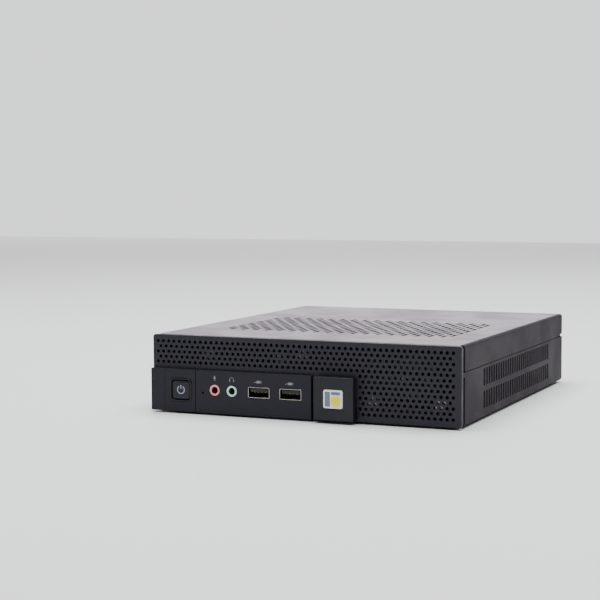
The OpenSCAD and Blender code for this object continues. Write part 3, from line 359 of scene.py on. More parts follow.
# %% The finishes
# name: colour, roughness from and to, grain in millimetres, relief, and what differs from plain plastic
FINISHES = {
    # cover_paint and chassis_paint are a lit and a shaded copy of one steel paint: the roof's colour is
    # lighter as painted light
    "cover_paint": ((0.066, 0.05, 0.068), (0.26, 0.36), 0.5, 0.16,
                    {"dusty": 0.25, "shade_below": case_h - 0.01}),
    "chassis_paint": ((0.036, 0.0305, 0.0365), (0.48, 0.6), 0.5, 0.2, {"dusty": 0.1, "specular": 0.05}),
    "bezel_plastic": ((0.018, 0.016, 0.0255), (0.42, 0.55), 0.16, 0.35, {"wear": 0.25, "specular": 0.3}),
    "panel_plastic": ((0.012, 0.0105, 0.0185), (0.36, 0.48), 0.14, 0.25, {"wear": 0.25, "specular": 0.25}),
    "badge_plastic": ((0.009, 0.0085, 0.014), (0.3, 0.4), 0.12, 0.15, {"wear": 0.2, "specular": 0.3}),
    "painted_shade_plastic": ((0.003, 0.003, 0.004), (0.6, 0.75), 0.2, 0.2,
                       {"wear": 0.0, "dusty": 0.05, "specular": 0.05}),
    "frame_gloss": ((0.003, 0.003, 0.004), (0.14, 0.22), 0.3, 0.03, {"wear": 0.05, "specular": 0.3}),
    "button_plastic": ((0.013, 0.0135, 0.021), (0.35, 0.46), 0.14, 0.2, {"wear": 0.15, "specular": 0.3}),
    "black_plastic": ((0.01, 0.01, 0.011), (0.45, 0.6), 0.2, 0.25, {}),
    "painted_shade_felt": ((0.004, 0.004, 0.0045), (0.9, 0.98), 0.25, 0.6,
                   {"wear": 0.0, "dusty": 0.0, "specular": 0.02}),
    "mic_pink": ((0.98, 0.38, 0.38), (0.22, 0.34), 0.2, 0.06, {"wear": 0.15}),
    # mic_bore and phones_bore: darker copies of the ring colours, as painted shade inside the jack bores
    "mic_bore": ((0.2, 0.012, 0.03), (0.4, 0.5), 0.2, 0.1, {"wear": 0.1}),
    "phones_mint": ((0.58, 0.98, 0.8), (0.22, 0.34), 0.2, 0.06, {"wear": 0.15}),
    "phones_bore": ((0.012, 0.11, 0.07), (0.4, 0.5), 0.2, 0.1, {"wear": 0.1}),
    "port_steel": ((0.42, 0.4, 0.38), (0.2, 0.34), 0.3, 0.1,
                   {"metal": 1, "stretch": (1, 0.08), "wear": 0.3}),
    "zinc_steel": ((0.55, 0.55, 0.56), (0.28, 0.45), 0.35, 0.15, {"metal": 1, "stretch": (0.1, 1)}),
    "contact_gold": ((0.85, 0.6, 0.2), (0.2, 0.3), 0.2, 0.05, {"metal": 1}),
    "standoff_brass": ((0.68, 0.5, 0.2), (0.25, 0.4), 0.25, 0.1, {"metal": 1, "stretch": (1, 0.1)}),
    "sink_aluminium": ((0.62, 0.63, 0.64), (0.3, 0.45), 0.35, 0.15, {"metal": 1, "stretch": (1, 0.06)}),
    "cpu_lid": ((0.6, 0.61, 0.63), (0.22, 0.36), 0.25, 0.12, {"metal": 1, "stretch": (0.06, 1)}),
    "foot_rubber": ((0.012, 0.012, 0.013), (0.7, 0.85), 0.35, 0.4, {"wear": 0.2}),
    "badge_white": ((0.82, 0.82, 0.83), (0.14, 0.22), 0.3, 0.03, {"coat": 0.3, "wear": 0.1}),
    "badge_slate": ((0.13, 0.165, 0.215), (0.16, 0.26), 0.3, 0.03, {"wear": 0.1}),
    "badge_yellow": ((1.0, 0.8, 0.0), (0.16, 0.26), 0.3, 0.03, {"wear": 0.1}),
    "print_white": ((0.22, 0.23, 0.26), (0.5, 0.6), 0.1, 0.1, {"wear": 0.0, "dusty": 0.05}),
    "light_guide": ((0.3, 0.36, 0.42), (0.2, 0.3), 0.2, 0.03, {"wear": 0.0, "dusty": 0.0}),
    "socket_ivory": ((0.72, 0.68, 0.56), (0.4, 0.5), 0.2, 0.15, {}),
    "switch_plunger": ((0.5, 0.5, 0.5), (0.4, 0.5), 0.15, 0.12, {}),
    "usb_blue": ((0.015, 0.09, 0.4), (0.35, 0.45), 0.2, 0.12, {}),
    "copper_winding": ((0.5, 0.17, 0.06), (0.2, 0.35), 0.5, 0.5, {"metal": 1}),
    "choke_grey": ((0.07, 0.072, 0.078), (0.5, 0.65), 0.25, 0.4, {}),
    "drive_case": ((0.18, 0.185, 0.2), (0.32, 0.45), 0.3, 0.15, {"metal": 1, "stretch": (0.1, 1)}),
    "ribbon_grey": ((0.3, 0.31, 0.33), (0.4, 0.5), 0.9, 0.5, {"stretch": (1.2, 0.02)}),
}
looks = {}
for label, (colour, rough, grain_mm, bump, rest) in FINISHES.items():
    looks[label] = finish(label, colour, rough, grain_mm, bump, **rest)
looks["badge_face"] = looks["badge_white"]
print(len(FINISHES), "finishes")

# %% [markdown]
# A circuit board, and a lit symbol
#
# Two finishes need more than the shared recipe. A circuit board shows copper tracks under
# its coloured lacquer: a Brick texture gives parallel tracks that step at random places, and
# a second one turned on its side takes over in patches, which reads as routing at this scale.
# The light guide glows, because the lamp behind it is on.

# %% Circuit board lacquer
def board_finish(name, lacquer, track, pitch_mm=1.1):
    """Lacquer over tracks: colour and relief follow a stepped line pattern."""
    made = finish(name, lacquer, (0.22, 0.34), 0.3, 0.05, wear=0.1, coat=0.2)
    tree = made.node_tree
    shader = tree.nodes["Principled BSDF"]
    place = own_place(tree)
    lines = []
    for turn in (0, math.pi / 2):
        turned = node(tree, "ShaderNodeMapping", {"Vector": place, "Rotation": (0, 0, turn)}).outputs[0]
        bricks = node(
            tree, "ShaderNodeTexBrick",
            {"Vector": turned, "Scale": 1.0, "Mortar Size": pitch_mm * MM * 0.16,
             "Mortar Smooth": 0.1, "Brick Width": pitch_mm * MM * 9, "Row Height": pitch_mm * MM},
            offset=0.37, squash=0.6, squash_frequency=3,
        )
        lines.append(bricks.outputs["Fac"])
    patch = remap(tree, noise(tree, place, 60.0, 1.0), 0.49, 0.51)
    chosen = node(tree, "ShaderNodeMix", {0: patch, 2: lines[0], 3: lines[1]}).outputs[0]
    colour = shader.inputs["Base Color"]
    share = maths(tree, "MULTIPLY", chosen, 0.75)
    tree.links.new(mix(tree, share, colour.links[0].from_socket, list(track) + [1]), colour)
    grained = shader.inputs["Normal"].links[0].from_socket
    relief = node(
        tree, "ShaderNodeBump",
        {"Strength": 0.5, "Distance": 0.04 * MM, "Height": chosen, "Normal": grained},
    )
    tree.links.new(relief.outputs["Normal"], shader.inputs["Normal"])
    return made


looks["board_green"] = board_finish("board_green", (0.01, 0.085, 0.035), (0.03, 0.2, 0.09))
looks["ssd_blue"] = board_finish("ssd_blue", (0.008, 0.05, 0.16), (0.03, 0.12, 0.3), pitch_mm=0.8)

# %% Lit symbol
guide = looks["light_guide"].node_tree
glow = guide.nodes["Principled BSDF"]
spread = node(guide, "ShaderNodeTexNoise", {"Scale": 900.0, "Detail": 1.0}).outputs["Fac"]
spread_light = mix(guide, remap(guide, spread, 0.3, 0.7), (0.62, 0.8, 1.0, 1), (0.85, 0.94, 1.0, 1))
guide.links.new(spread_light, glow.inputs["Emission Color"])
glow.inputs["Emission Strength"].default_value = 0.16

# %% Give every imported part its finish
for entry in frame["record"]["subparts"]:
    part = frame["nodes"][entry["node"]]
    if not part.material_slots:
        part.data.materials.append(None)
    for slot in part.material_slots:
        slot.material = looks[entry["material_slot"]]

# %% [markdown]
# Tools for plates and walls
#
# Almost every visible piece of this case is a plate: a flat shape with holes, some thickness
# and slightly rounded edges. A Bevel modifier can round them, but it struggles on a face with
# hundreds of holes. Here each outline is drawn again a little further in for every step of
# the rounding, which gives clean rings of faces, and the flat caps are filled between them.
# Plates are drawn flat in millimetres, then stood up to face the front, a side or the back.

# %% Outlines
def polar(x, z, r, a):
    """The point at distance r and angle a from a centre."""
    return x + r * math.cos(a), z + r * math.sin(a)


def circle(x, z, r, steps=32):
    """Points of a circle, counter-clockwise."""
    return [polar(x, z, r, 2 * math.pi * i / steps) for i in range(steps)]


def rounded(x, z, w, h, r, steps=6):
    """Points of a rounded rectangle round its middle, counter-clockwise."""
    points = []
    for turn, (sx, sz) in enumerate(((1, 1), (-1, 1), (-1, -1), (1, -1))):
        for i in range(steps + 1):
            a = (turn + i / steps) * math.pi / 2
            points.append(polar(x + sx * (w / 2 - r), z + sz * (h / 2 - r), r, a))
    return points


def around(part, grow, r, steps=6):
    """A rounded rectangle round a part, wider and higher than it by grow."""
    return rounded(part.mid.x, part.mid.z, part.w + grow, part.h + grow, r, steps)


def box_outline(x0, x1, z0, z1):
    """A plain rectangle, counter-clockwise."""
    return [(x0, z0), (x1, z0), (x1, z1), (x0, z1)]


def side_box(side, near, far, z0, z1):
    """A rectangle on one side of the case, given by its distances from the middle."""
    left, right = sorted((side * near, side * far))
    return box_outline(left, right, z0, z1)


def hole(points):
    """An outline turned round, so that it counts as a hole."""
    return list(reversed(points))


def stroke(path, width):
    """The outline of a bent line of even width, counter-clockwise."""
    sides = [[], []]
    for i, p in enumerate(path):
        a = Vector(path[max(0, i - 1)])
        b = Vector(path[min(len(path) - 1, i + 1)])
        across = Vector((-(b - a).y, (b - a).x)).normalized() * width / 2
        sides[0].append(tuple(Vector(p) - across))
        sides[1].append(tuple(Vector(p) + across))
    return sides[0] + list(reversed(sides[1]))


def arc(x, z, r, start, end, steps=16):
    """Points along part of a circle, angles in degrees."""
    angles = [math.radians(start + (end - start) * i / steps) for i in range(steps + 1)]
    return [polar(x, z, r, a) for a in angles]


def moved_in(points, distance):
    """An outline moved towards its material, which lies on its left."""
    found = []
    for i, p in enumerate(points):
        before = Vector(p) - Vector(points[i - 1])
        after = Vector(points[(i + 1) % len(points)]) - Vector(p)
        n1 = Vector((-before.y, before.x)).normalized()
        n2 = Vector((-after.y, after.x)).normalized()
        found.append(tuple(Vector(p) + (n1 + n2) / max(0.3, 1 + n1.dot(n2)) * distance))
    return found


# %% Sections through an edge
def edges(thick, front=0.2, back=0.1, steps=3):
    """Pairs (distance in, height) from the front cap, round its edge, down to the back cap."""
    pairs = []
    for i in range(steps + 1):
        a = i / steps * math.pi / 2
        pairs.append((front * (1 - math.sin(a)), front * (math.cos(a) - 1)))
    pairs.append((0, -thick + back))
    if back:
        pairs.append((back * 0.3, -thick + back * 0.3))
        pairs.append((back, -thick))
    return pairs


def lip(radius, middle, depth):
    """Pairs for a small rounded lip and a straight wall; middle is a point half way round."""
    return [(radius, 0), (middle, -middle), (0, -radius), (0, -depth)]


def moulded(depth):
    """Pairs for the softer edge of a moulding and a straight wall."""
    return [(0.5, 0), (0.25, -0.07), (0.07, -0.25), (0, -0.5), (0, -depth)]


# %% Facing
facings = {
    "front": lambda u, v, w: at(u, -w, v),
    "back": lambda u, v, w: at(-u, w, v),
    "right": lambda u, v, w: at(w, u, v),
    "left": lambda u, v, w: at(-w, -u, v),
    "top": at,
    "bottom": lambda u, v, w: at(u, -v, -w),
}


def finished(name, mesh, look, slot=None, body="case", stands_for=(), angle=32):
    """Clean a mesh, smooth it between sharp edges, give it its finish and let it ride.

    The slot argument is not used.
    """
    work = bmesh.new()
    work.from_mesh(mesh)
    bmesh.ops.remove_doubles(work, verts=work.verts, dist=2e-7)
    bmesh.ops.recalc_face_normals(work, faces=work.faces)
    work.to_mesh(mesh)
    work.free()
    mesh.shade_smooth()
    mesh.set_sharp_from_angle(angle=math.radians(angle))
    mesh.materials.clear()
    mesh.materials.append(looks[look])
    piece = bpy.data.objects.new(name, mesh)
    bpy.context.collection.objects.link(piece)
    even = piece.modifiers.new("even_light", "WEIGHTED_NORMAL")
    even.keep_sharp = True
    even.weight = 90
    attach(piece, body)
    if stands_for:
        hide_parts(*stands_for)
    print(name, len(mesh.vertices), "points", len(mesh.polygons), "faces")


# %% A wall round an outline, and a plate
def wall(points, section, verts, faces, level=0.0):
    """Rings of faces along an outline, one ring for each pair of the section."""
    start = len(verts)
    count = len(points)
    for inset, height in section:
        verts.extend((p[0], p[1], level + height) for p in moved_in(points, inset))
    for ring in range(len(section) - 1):
        for i in range(count):
            a = start + ring * count + i
            b = start + ring * count + (i + 1) % count
            faces.append((a, a + count, b + count, b))
    return start, start + (len(section) - 1) * count


def plate_shape(outlines, level, section, facing="front"):
    """A flat shape with holes. Level is the height of its front cap above the drawing's plane."""
    verts, faces = [], []
    ends = [wall(points, section, verts, faces, level) for points in outlines]
    for end in (0, 1):
        rings = [range(first[end], first[end] + len(points)) for first, points in zip(ends, outlines)]
        index = [i for ring in rings for i in ring]
        for triangle in tessellate_polygon([[Vector(verts[i]) for i in ring] for ring in rings]):
            faces.append(tuple(index[i] for i in triangle))
    return [facings[facing](*v) for v in verts], faces


def turned_shape(profile, place, facing="front", steps=32):
    """A round shape, from (radius, height) pairs round an axis that faces the viewer."""
    verts, faces = [], []
    for r, h in profile:
        verts.extend((x, z, place[2] + h) for x, z in circle(place[0], place[1], r, steps))
    for ring in range(len(profile) - 1):
        for i in range(steps):
            a = ring * steps + i
            b = ring * steps + (i + 1) % steps
            faces.append((a, a + steps, b + steps, b))
    for ring in (0, len(profile) - 1):
        faces.append([ring * steps + i for i in range(steps)])
    return [facings[facing](*v) for v in verts], faces


def ring_shape(profile, place, facing="front", steps=32):
    """A round wall with a bore: a closed (radius, height) section turned round the axis."""
    verts, faces = [], []
    count = len(profile)
    for i in range(steps):
        a = 2 * math.pi * i / steps
        verts.extend((*polar(place[0], place[1], r, a), place[2] + h) for r, h in profile)
    for i in range(steps):
        for k in range(count):
            here, there = i * count, (i + 1) % steps * count
            faces.append((here + k, here + (k + 1) % count, there + (k + 1) % count, there + k))
    return [facings[facing](*v) for v in verts], faces


def solid(name, shapes, look, **rest):
    """One object from several shapes of one finish."""
    verts, faces = [], []
    for more_verts, more_faces in shapes:
        faces.extend([index + len(verts) for index in face] for face in more_faces)
        verts.extend(more_verts)
    mesh = bpy.data.meshes.new(name)
    mesh.from_pydata(verts, [], faces)
    finished(name, mesh, look, **rest)


# %% [markdown]
# A perforated sheet by rule
#
# The grille and the vents are regular grids of holes with every second line shifted. That is
# a rule, so Geometry Nodes make it. The tree takes a mesh that holds only the walls of the
# outline, and a small object that is the wall of one hole. It puts the hole on every point of
# the grid, keeps clear of the port blocks, and fills the flat caps between all the edges.

# %% The perforated sheet's tree
TINY = 1e-6


def compared(tree, first, operation, second):
    """One Compare node's result."""
    return node(tree, "FunctionNodeCompare", {0: first, 1: second}, operation=operation).outputs[0]


def sheet_tree():
    """Geometry nodes: outline walls in, sheet with a grid of holes out."""
    tree = bpy.data.node_groups.new("perforated_sheet", "GeometryNodeTree")
    face = tree.interface
    face.new_socket("Geometry", in_out="INPUT", socket_type="NodeSocketGeometry")
    face.new_socket("Hole", in_out="INPUT", socket_type="NodeSocketObject")
    for label in ("Columns", "Rows"):
        face.new_socket(label, in_out="INPUT", socket_type="NodeSocketInt")
    for label in ("First X", "First Y", "Column Pitch", "Row Pitch", "Row Shift", "Column Shift",
                  "Thickness", "Keep Above", "Keep Right Of", "Keep Left Of"):
        face.new_socket(label, in_out="INPUT", socket_type="NodeSocketFloat")
    face.new_socket("Material", in_out="INPUT", socket_type="NodeSocketMaterial")
    face.new_socket("Geometry", in_out="OUTPUT", socket_type="NodeSocketGeometry")
    given = tree.nodes.new("NodeGroupInput").outputs
    result = tree.nodes.new("NodeGroupOutput")

    calc = partial(maths, tree)
    add = partial(node, tree)
    count = calc("MULTIPLY", given["Columns"], given["Rows"])
    number = tree.nodes.new("GeometryNodeInputIndex").outputs[0]
    column = calc("FLOORED_MODULO", number, given["Columns"])
    row = calc("FLOOR", calc("DIVIDE", calc("ADD", number, 0.5), given["Columns"]))
    odd_row = calc("FLOORED_MODULO", row, 2.0)
    odd_column = calc("FLOORED_MODULO", column, 2.0)
    x = calc("MULTIPLY_ADD", column, given["Column Pitch"], given["First X"])
    x = calc("MULTIPLY_ADD", odd_row, given["Row Shift"], x)
    y = calc("MULTIPLY_ADD", row, given["Row Pitch"], given["First Y"])
    y = calc("MULTIPLY_ADD", odd_column, given["Column Shift"], y)
    place = add("ShaderNodeCombineXYZ", {"X": x, "Y": y}).outputs[0]
    grid = add("GeometryNodePoints", {"Count": count, "Position": place}).outputs[0]

    where = add("ShaderNodeSeparateXYZ", {0: tree.nodes.new("GeometryNodeInputPosition").outputs[0]})
    low = compared(tree, where.outputs["Y"], "LESS_THAN", given["Keep Above"])
    near = compared(tree, where.outputs["X"], "LESS_THAN", given["Keep Right Of"])
    far = compared(tree, where.outputs["X"], "GREATER_THAN", given["Keep Left Of"])
    behind = add("FunctionNodeBooleanMath", {0: low, 1: near}, operation="AND").outputs[0]
    dropped = add("FunctionNodeBooleanMath", {0: behind, 1: far}, operation="OR").outputs[0]
    kept = add("GeometryNodeDeleteGeometry", {"Geometry": grid, "Selection": dropped}).outputs[0]

    shape = add("GeometryNodeObjectInfo", {"Object": given["Hole"]}).outputs["Geometry"]
    copies = add("GeometryNodeInstanceOnPoints", {"Points": kept, "Instance": shape}).outputs[0]
    copies = add("GeometryNodeRealizeInstances", {0: copies}).outputs[0]
    walls = tree.nodes.new("GeometryNodeJoinGeometry")
    tree.links.new(copies, walls.inputs[0])
    tree.links.new(given["Geometry"], walls.inputs[0])

    everything = tree.nodes.new("GeometryNodeJoinGeometry")
    tree.links.new(walls.outputs[0], everything.inputs[0])
    for side, level in (("front", 0.0), ("back", calc("MULTIPLY", given["Thickness"], -1.0))):
        gap = calc("ABSOLUTE", calc("SUBTRACT", where.outputs["Z"], level))
        rim = compared(tree, gap, "LESS_THAN", TINY)
        loops = add("GeometryNodeMeshToCurve", {"Mesh": walls.outputs[0], "Selection": rim})
        cap = add("GeometryNodeFillCurve", {"Curve": loops.outputs[0]}).outputs[0]
        if side == "back":
            lowered = add("ShaderNodeCombineXYZ", {"Z": level}).outputs[0]
            cap = add("GeometryNodeTransform", {"Geometry": cap, "Translation": lowered}).outputs[0]
        tree.links.new(cap, everything.inputs[0])
    merged = add("GeometryNodeMergeByDistance", {0: everything.outputs[0], "Distance": TINY})
    whole = add("GeometryNodeRealizeInstances", {0: merged.outputs[0]}).outputs[0]
    painted = add("GeometryNodeSetMaterial", {"Geometry": whole, "Material": given["Material"]})
    tree.links.new(painted.outputs[0], result.inputs[0])
    return tree


perforated = sheet_tree()


# %% Use the tree on one sheet
def walls_object(name, outlines, section):
    """A helper object that holds only the walls of its outlines."""
    verts, faces = [], []
    for points in outlines:
        wall(points, section, verts, faces)
    mesh = bpy.data.meshes.new(name)
    mesh.from_pydata([Vector(v) * MM for v in verts], [], faces)
    made = bpy.data.objects.new(name, mesh)
    bpy.context.collection.objects.link(made)
    return made


def sheet(name, outlines, section, hole_points, hole_section, numbers, level, facing, look, stands_for=()):
    """A sheet in millimetres; numbers holds the tree's inputs by name."""
    base = walls_object(name + "_walls", outlines, section)
    one = walls_object(name + "_hole", [hole_points], hole_section)
    items = perforated.interface.items_tree
    sockets = {item.name: item.identifier for item in items if item.in_out == "INPUT"}
    modifier = base.modifiers.new("perforate", "NODES")
    modifier.node_group = perforated
    modifier[sockets["Hole"]] = one
    modifier[sockets["Material"]] = looks[look]
    for label, value in numbers.items():
        modifier[sockets[label]] = value if label in ("Columns", "Rows") else value * MM
    graph = bpy.context.evaluated_depsgraph_get()
    made = bpy.data.meshes.new_from_object(base.evaluated_get(graph))
    base.modifiers.remove(modifier)
    bpy.data.objects.remove(base)
    bpy.data.objects.remove(one)
    for vertex in made.vertices:
        u, v, w = vertex.co / MM
        vertex.co = facings[facing](u, v, w + level)
    finished(name, made, look, stands_for=stands_for)


# %% [markdown]
# The bezel
#
# The front is one moulding: a perforated plate, a short rim that wraps the side, and a
# narrower neck that clips over the steel. The plate comes from the perforated sheet's tree,
# with the port window as a second outline. Its corners are rounded like a moulding's, and
# every hole has a tiny lip, which is what catches the light in a row of black holes.

# %% Sizes of the front
half_w = case_w / 2
plate_t = 2.2
rim_d = 3.4
lid_t = 1.0
roof_z = case_h - lid_t
corner_r = 1.5
panel = span("port_panel")
badge = span("badge_block")
panel_stand = -panel.low.y
badge_stand = -badge.low.y
hole_pitch = 3.5
hole_r = 0.975
row_pitch = hole_pitch * math.sqrt(3) / 2
window_left = -half_w + 4.2
window_right = panel.high.x - 2
window_low = 2.6
window = box_outline(window_left, window_right, window_low, panel.h - 2.6)
neck_in = 2.6
neck_t = 1.6
neck_top = roof_z - 0.2
gap = 0.002
print(f"panel {panel.w:.1f} x {panel.h:.1f} mm, {panel_stand:.1f} mm proud")
print(f"badge {badge_stand:.1f} mm proud")

# %% Perforated front
sheet(
    "bezel_grille",
    [rounded(0, case_h / 2, case_w, case_h, corner_r), hole(window)],
    moulded(plate_t),
    hole(circle(0, 0, hole_r, 16)),
    lip(0.12, 0.035, plate_t),
    {
        "Columns": 53, "Rows": 13, "First X": -half_w + 3.4, "First Y": case_h - 3.7,
        "Column Pitch": hole_pitch, "Row Pitch": -row_pitch, "Row Shift": hole_pitch / 2,
        "Column Shift": 0, "Thickness": plate_t, "Keep Above": panel.h + 1.5,
        "Keep Right Of": badge.high.x + 1.5, "Keep Left Of": half_w - 3.9,
    },
    0, "front", "bezel_plastic", ("front_bezel",),
)

# %% Rim and neck
neck_hole = box_outline(-half_w + neck_in + neck_t, half_w - neck_in - neck_t, neck_t, neck_top - neck_t)
rim = plate_shape(
    [rounded(0, case_h / 2, case_w, case_h, corner_r), hole(neck_hole)],
    -plate_t - gap, edges(rim_d - plate_t, 0, 0.35),
)
solid("bezel_rim", [rim], "bezel_plastic")
neck = plate_shape(
    [box_outline(-half_w + neck_in, half_w - neck_in, 0, neck_top), hole(neck_hole)],
    -rim_d - gap, edges(neck_d - rim_d - 0.01, 0, 0),
)
# The neck takes a darker copy of the bezel plastic, as painted shade in the deep groove behind the rim
solid("bezel_neck", [neck], "painted_shade_plastic", slot="bezel_plastic")

# %% [markdown]
# The port panel
#
# The panel is a second moulding that stands in front of the grille. Two fine grooves divide
# it. It is made as a base plate with three face plates on it, whose rounded edges form the
# grooves, as a V-shaped tool would leave them. All of them share the same openings.

# %% Openings of the panel
rim_frame = span("button_frame")
mic = span("mic_jack_ring")
phones = span("headphone_jack_ring")
usb = span("usb_shell_left")
usb_left = usb.mid
usb_right = span("usb_shell_right").mid
pin = span("reset_plunger")
ring_r = mic.w / 2
pinhole_r = 0.65
openings = [
    (rim_frame.mid.x, hole(around(rim_frame, 0, 2.9, 8))),
    (pin.mid.x, hole(circle(pin.mid.x, pin.mid.z, pinhole_r, 20))),
    (mic.mid.x, hole(circle(mic.mid.x, mic.mid.z, ring_r + 0.03, 40))),
    (phones.mid.x, hole(circle(phones.mid.x, phones.mid.z, ring_r + 0.03, 40))),
    (usb_left.x, hole(rounded(usb_left.x, usb_left.z, usb.w, usb.h, 0.7, 4))),
    (usb_right.x, hole(rounded(usb_right.x, usb_right.z, usb.w, usb.h, 0.7, 4))),
]

# %% Base plate and three face plates
face_t = 0.7
cuts = [panel.low.x, -half_w + 9.2, -half_w + 29.5, panel.high.x]
half_gaps = [0.0, 0.03, 0.16, 0.0]
parts = [plate_shape(
    [around(panel, 0, 0.8)] + [ring for _, ring in openings],
    panel_stand - face_t - 0.003, edges(panel_stand - face_t - 0.01, 0, 0),
)]
for i in range(3):
    left = cuts[i] + half_gaps[i]
    right = cuts[i + 1] - half_gaps[i + 1]
    inside = [ring for x, ring in openings if left < x < right]
    outline = rounded((left + right) / 2, panel.mid.z, right - left, panel.h, 0.3 if i == 1 else 0.5, 4)
    parts.append(plate_shape([outline] + inside, panel_stand, edges(face_t, 0.22, 0)))
solid("port_panel_front", parts, "panel_plastic", stands_for=("port_panel",))

# %% [markdown]
# The power button
#
# A glossy frame surrounds a satin key, and a light guide shows through it as a symbol. The
# frame, the key and the symbol are separate pieces, because the key and its symbol travel.

# %% Frame, key and symbol
key = span("power_button")
key_w = rim_frame.w - 2.6
key_h = rim_frame.h - 2.6
frame_level = panel_stand + 0.3
frame_plate = plate_shape(
    [around(rim_frame, -0.04, 2.88, 8),
     hole(rounded(rim_frame.mid.x, rim_frame.mid.z, key_w + 0.6, key_h + 0.6, 2.2, 8))],
    frame_level, edges(frame_level - 0.02, 0.28, 0),
)
solid("button_surround", [frame_plate], "frame_gloss", stands_for=("button_frame",))
crown = [(1.4, 0), (0.8, -0.05), (0.35, -0.18), (0.1, -0.42), (0, -0.75), (0, -panel_stand - 0.19)]
key_parts = [
    plate_shape([rounded(key.mid.x, key.mid.z, key_w, key_h, 1.9, 8)], panel_stand, crown),
    plate_shape([rounded(key.mid.x, key.mid.z, rim_frame.w, rim_frame.h, 2.9, 8)], -0.2, edges(1, 0.1, 0.1)),
    turned_shape([(1.4, -1.21), (1.4, -5.2), (1.2, -5.4)], (key.mid.x, key.mid.z, 0), steps=20),
]
solid("power_key_cap", key_parts, "button_plastic", body="power_key", stands_for=("power_button",))
symbol_r = span("power_icon").w / 2 - 0.25
symbol_outlines = [
    stroke(arc(key.mid.x, key.mid.z, symbol_r, 122, 418, 28), 0.48),
    rounded(key.mid.x, key.mid.z + symbol_r * 0.72, 0.46, symbol_r * 1.05, 0.2, 3),
]
symbol = [plate_shape([outline], panel_stand + 0.02, edges(0.9, 0.05, 0)) for outline in symbol_outlines]
solid("power_key_symbol", symbol, "light_guide", body="power_key", stands_for=("power_icon",))

# %% [markdown]
# The audio jacks
#
# Each jack shows a coloured ring with a soft lip round a dark bore. The ring is a section
# turned round the jack's axis, with a rounded outer edge and a small cone into the bore. A
# plain cylinder would miss the thin highlight that runs round the lip. A darker liner of the
# same hue lies inside it as painted shade: its colour stands in for the shade deep in the
# bore, so that the hole reads as deep even when light falls in.

# %% Coloured rings
def jack_ring(name, mid, look, bore_shade, node_name):
    """A jack's ring with a lip, and the liner of its bore, coloured darker as painted shade."""
    top = panel_stand + 0.3
    edge_section = [(2.06, -1.4), (2.06, top - 0.38), (2.14, top - 0.12), (2.3, top), (2.85, top),
                    (3.02, top - 0.05), (3.12, top - 0.16), (3.15, top - 0.32), (3.15, -1.4)]
    bore = [(1.8, -1.39), (1.8, top - 0.62), (1.9, top - 0.45), (2.05, top - 0.4), (2.05, -1.39)]
    place = (mid.x, mid.z, 0)
    solid(name, [ring_shape(edge_section, place, steps=48)], look, stands_for=(node_name,), angle=50)
    solid(name + "_liner", [ring_shape(bore, place, steps=48)], bore_shade, slot=look, angle=50)


jack_ring("mic_ring", mic.mid, "mic_pink", "mic_bore", "mic_jack_ring")
jack_ring("phones_ring", phones.mid, "phones_mint", "phones_bore", "headphone_jack_ring")

# %% [markdown]
# The usb ports
#
# A usb port is a folded steel shell with spring tongues that grip the plug. The shell is a
# ring-shaped plate drawn deep, with a rolled front edge. Its springs are short strips that
# lean inwards from the top and the bottom, and they glint inside the dark mouth.

# %% Shells and their springs
def usb_shell(name, mid, node_name):
    """A shell with a rolled lip and four springs."""
    level = panel_stand + 0.1
    depth = usb.high.y + level
    outside = rounded(mid.x, mid.z, usb.w - 0.05, usb.h - 0.05, 0.68, 4)
    mouth = rounded(mid.x, mid.z, usb.w - 0.8, usb.h - 0.8, 0.4, 4)
    shapes = [plate_shape([outside, hole(mouth)], level, edges(depth, 0.16, 0))]
    for side in (-1, 1):
        wall_z = mid.z + side * (usb.h / 2 - 0.52)
        for x in (mid.x - 3.1, mid.x + 3.1):
            verts = []
            for y, lean in ((1.0, 0.02), (3.2, 0.5), (4.6, 0.55), (6.0, 0.1)):
                for dx in (-1.1, 1.1):
                    verts.append(at(x + dx, y - panel_stand, wall_z - side * lean))
            shapes.append((verts, [(0, 1, 3, 2), (2, 3, 5, 4), (4, 5, 7, 6)]))
    solid(name, shapes, "port_steel", stands_for=(node_name,))


usb_shell("usb_mouth_left", usb_left, "usb_shell_left")
usb_shell("usb_mouth_right", usb_right, "usb_shell_right")

# %% [markdown]
# Printed symbols
#
# Small pale symbols say what each port is for. They are pad-printed, so each is a film of
# ink a few hundredths of a millimetre thick. A microphone, headphones and a plug are plain
# drawings that carry no words.

# %% Microphone, headphones and plugs
def ink(outline):
    """A film of ink on the panel."""
    return plate_shape([outline], panel_stand + 0.035, edges(0.034, 0.008, 0, 1))


mx, mz = mic.mid.x, mic.mid.z + 7.0
symbols = [
    ink(rounded(mx, mz + 0.55, 0.8, 1.7, 0.39, 4)),
    ink(stroke(arc(mx, mz + 0.35, 0.85, 180, 360, 12), 0.26)),
    ink(box_outline(mx - 0.13, mx + 0.13, mz - 1.15, mz - 0.62)),
    ink(box_outline(mx - 0.55, mx + 0.55, mz - 1.4, mz - 1.16)),
]
hx, hz = phones.mid.x, phones.mid.z + 6.6
symbols += [
    ink(stroke(arc(hx, hz - 0.1, 1.3, 0, 180, 18), 0.28)),
    ink(rounded(hx - 1.25, hz - 0.65, 0.62, 1.15, 0.25, 4)),
    ink(rounded(hx + 1.25, hz - 0.65, 0.62, 1.15, 0.25, 4)),
]
for mid in (usb_left, usb_right):
    px, pz = mid.x, mid.z + 6.1
    symbols += [
        ink(rounded(px - 0.2, pz, 2.3, 1.5, 0.3, 4)),
        ink(box_outline(px + 1.0, px + 1.95, pz + 0.2, pz + 0.5)),
        ink(box_outline(px + 1.0, px + 1.95, pz - 0.5, pz - 0.2)),
        ink(stroke([(px - 1.36, pz), (px - 2.1, pz), (px - 2.6, pz - 0.25), (px - 3.0, pz - 0.6)], 0.3)),
    ]
solid("printed_symbols", symbols, "print_white", slot="light_guide")

# %% [markdown]
# The badge
#
# A thick block beside the ports carries a small square plate with a glossy print. The print
# is white with slate and yellow, in a plain pattern of two bars and a disc. Each colour is a
# film of its own, so its edge stays sharp at any distance.

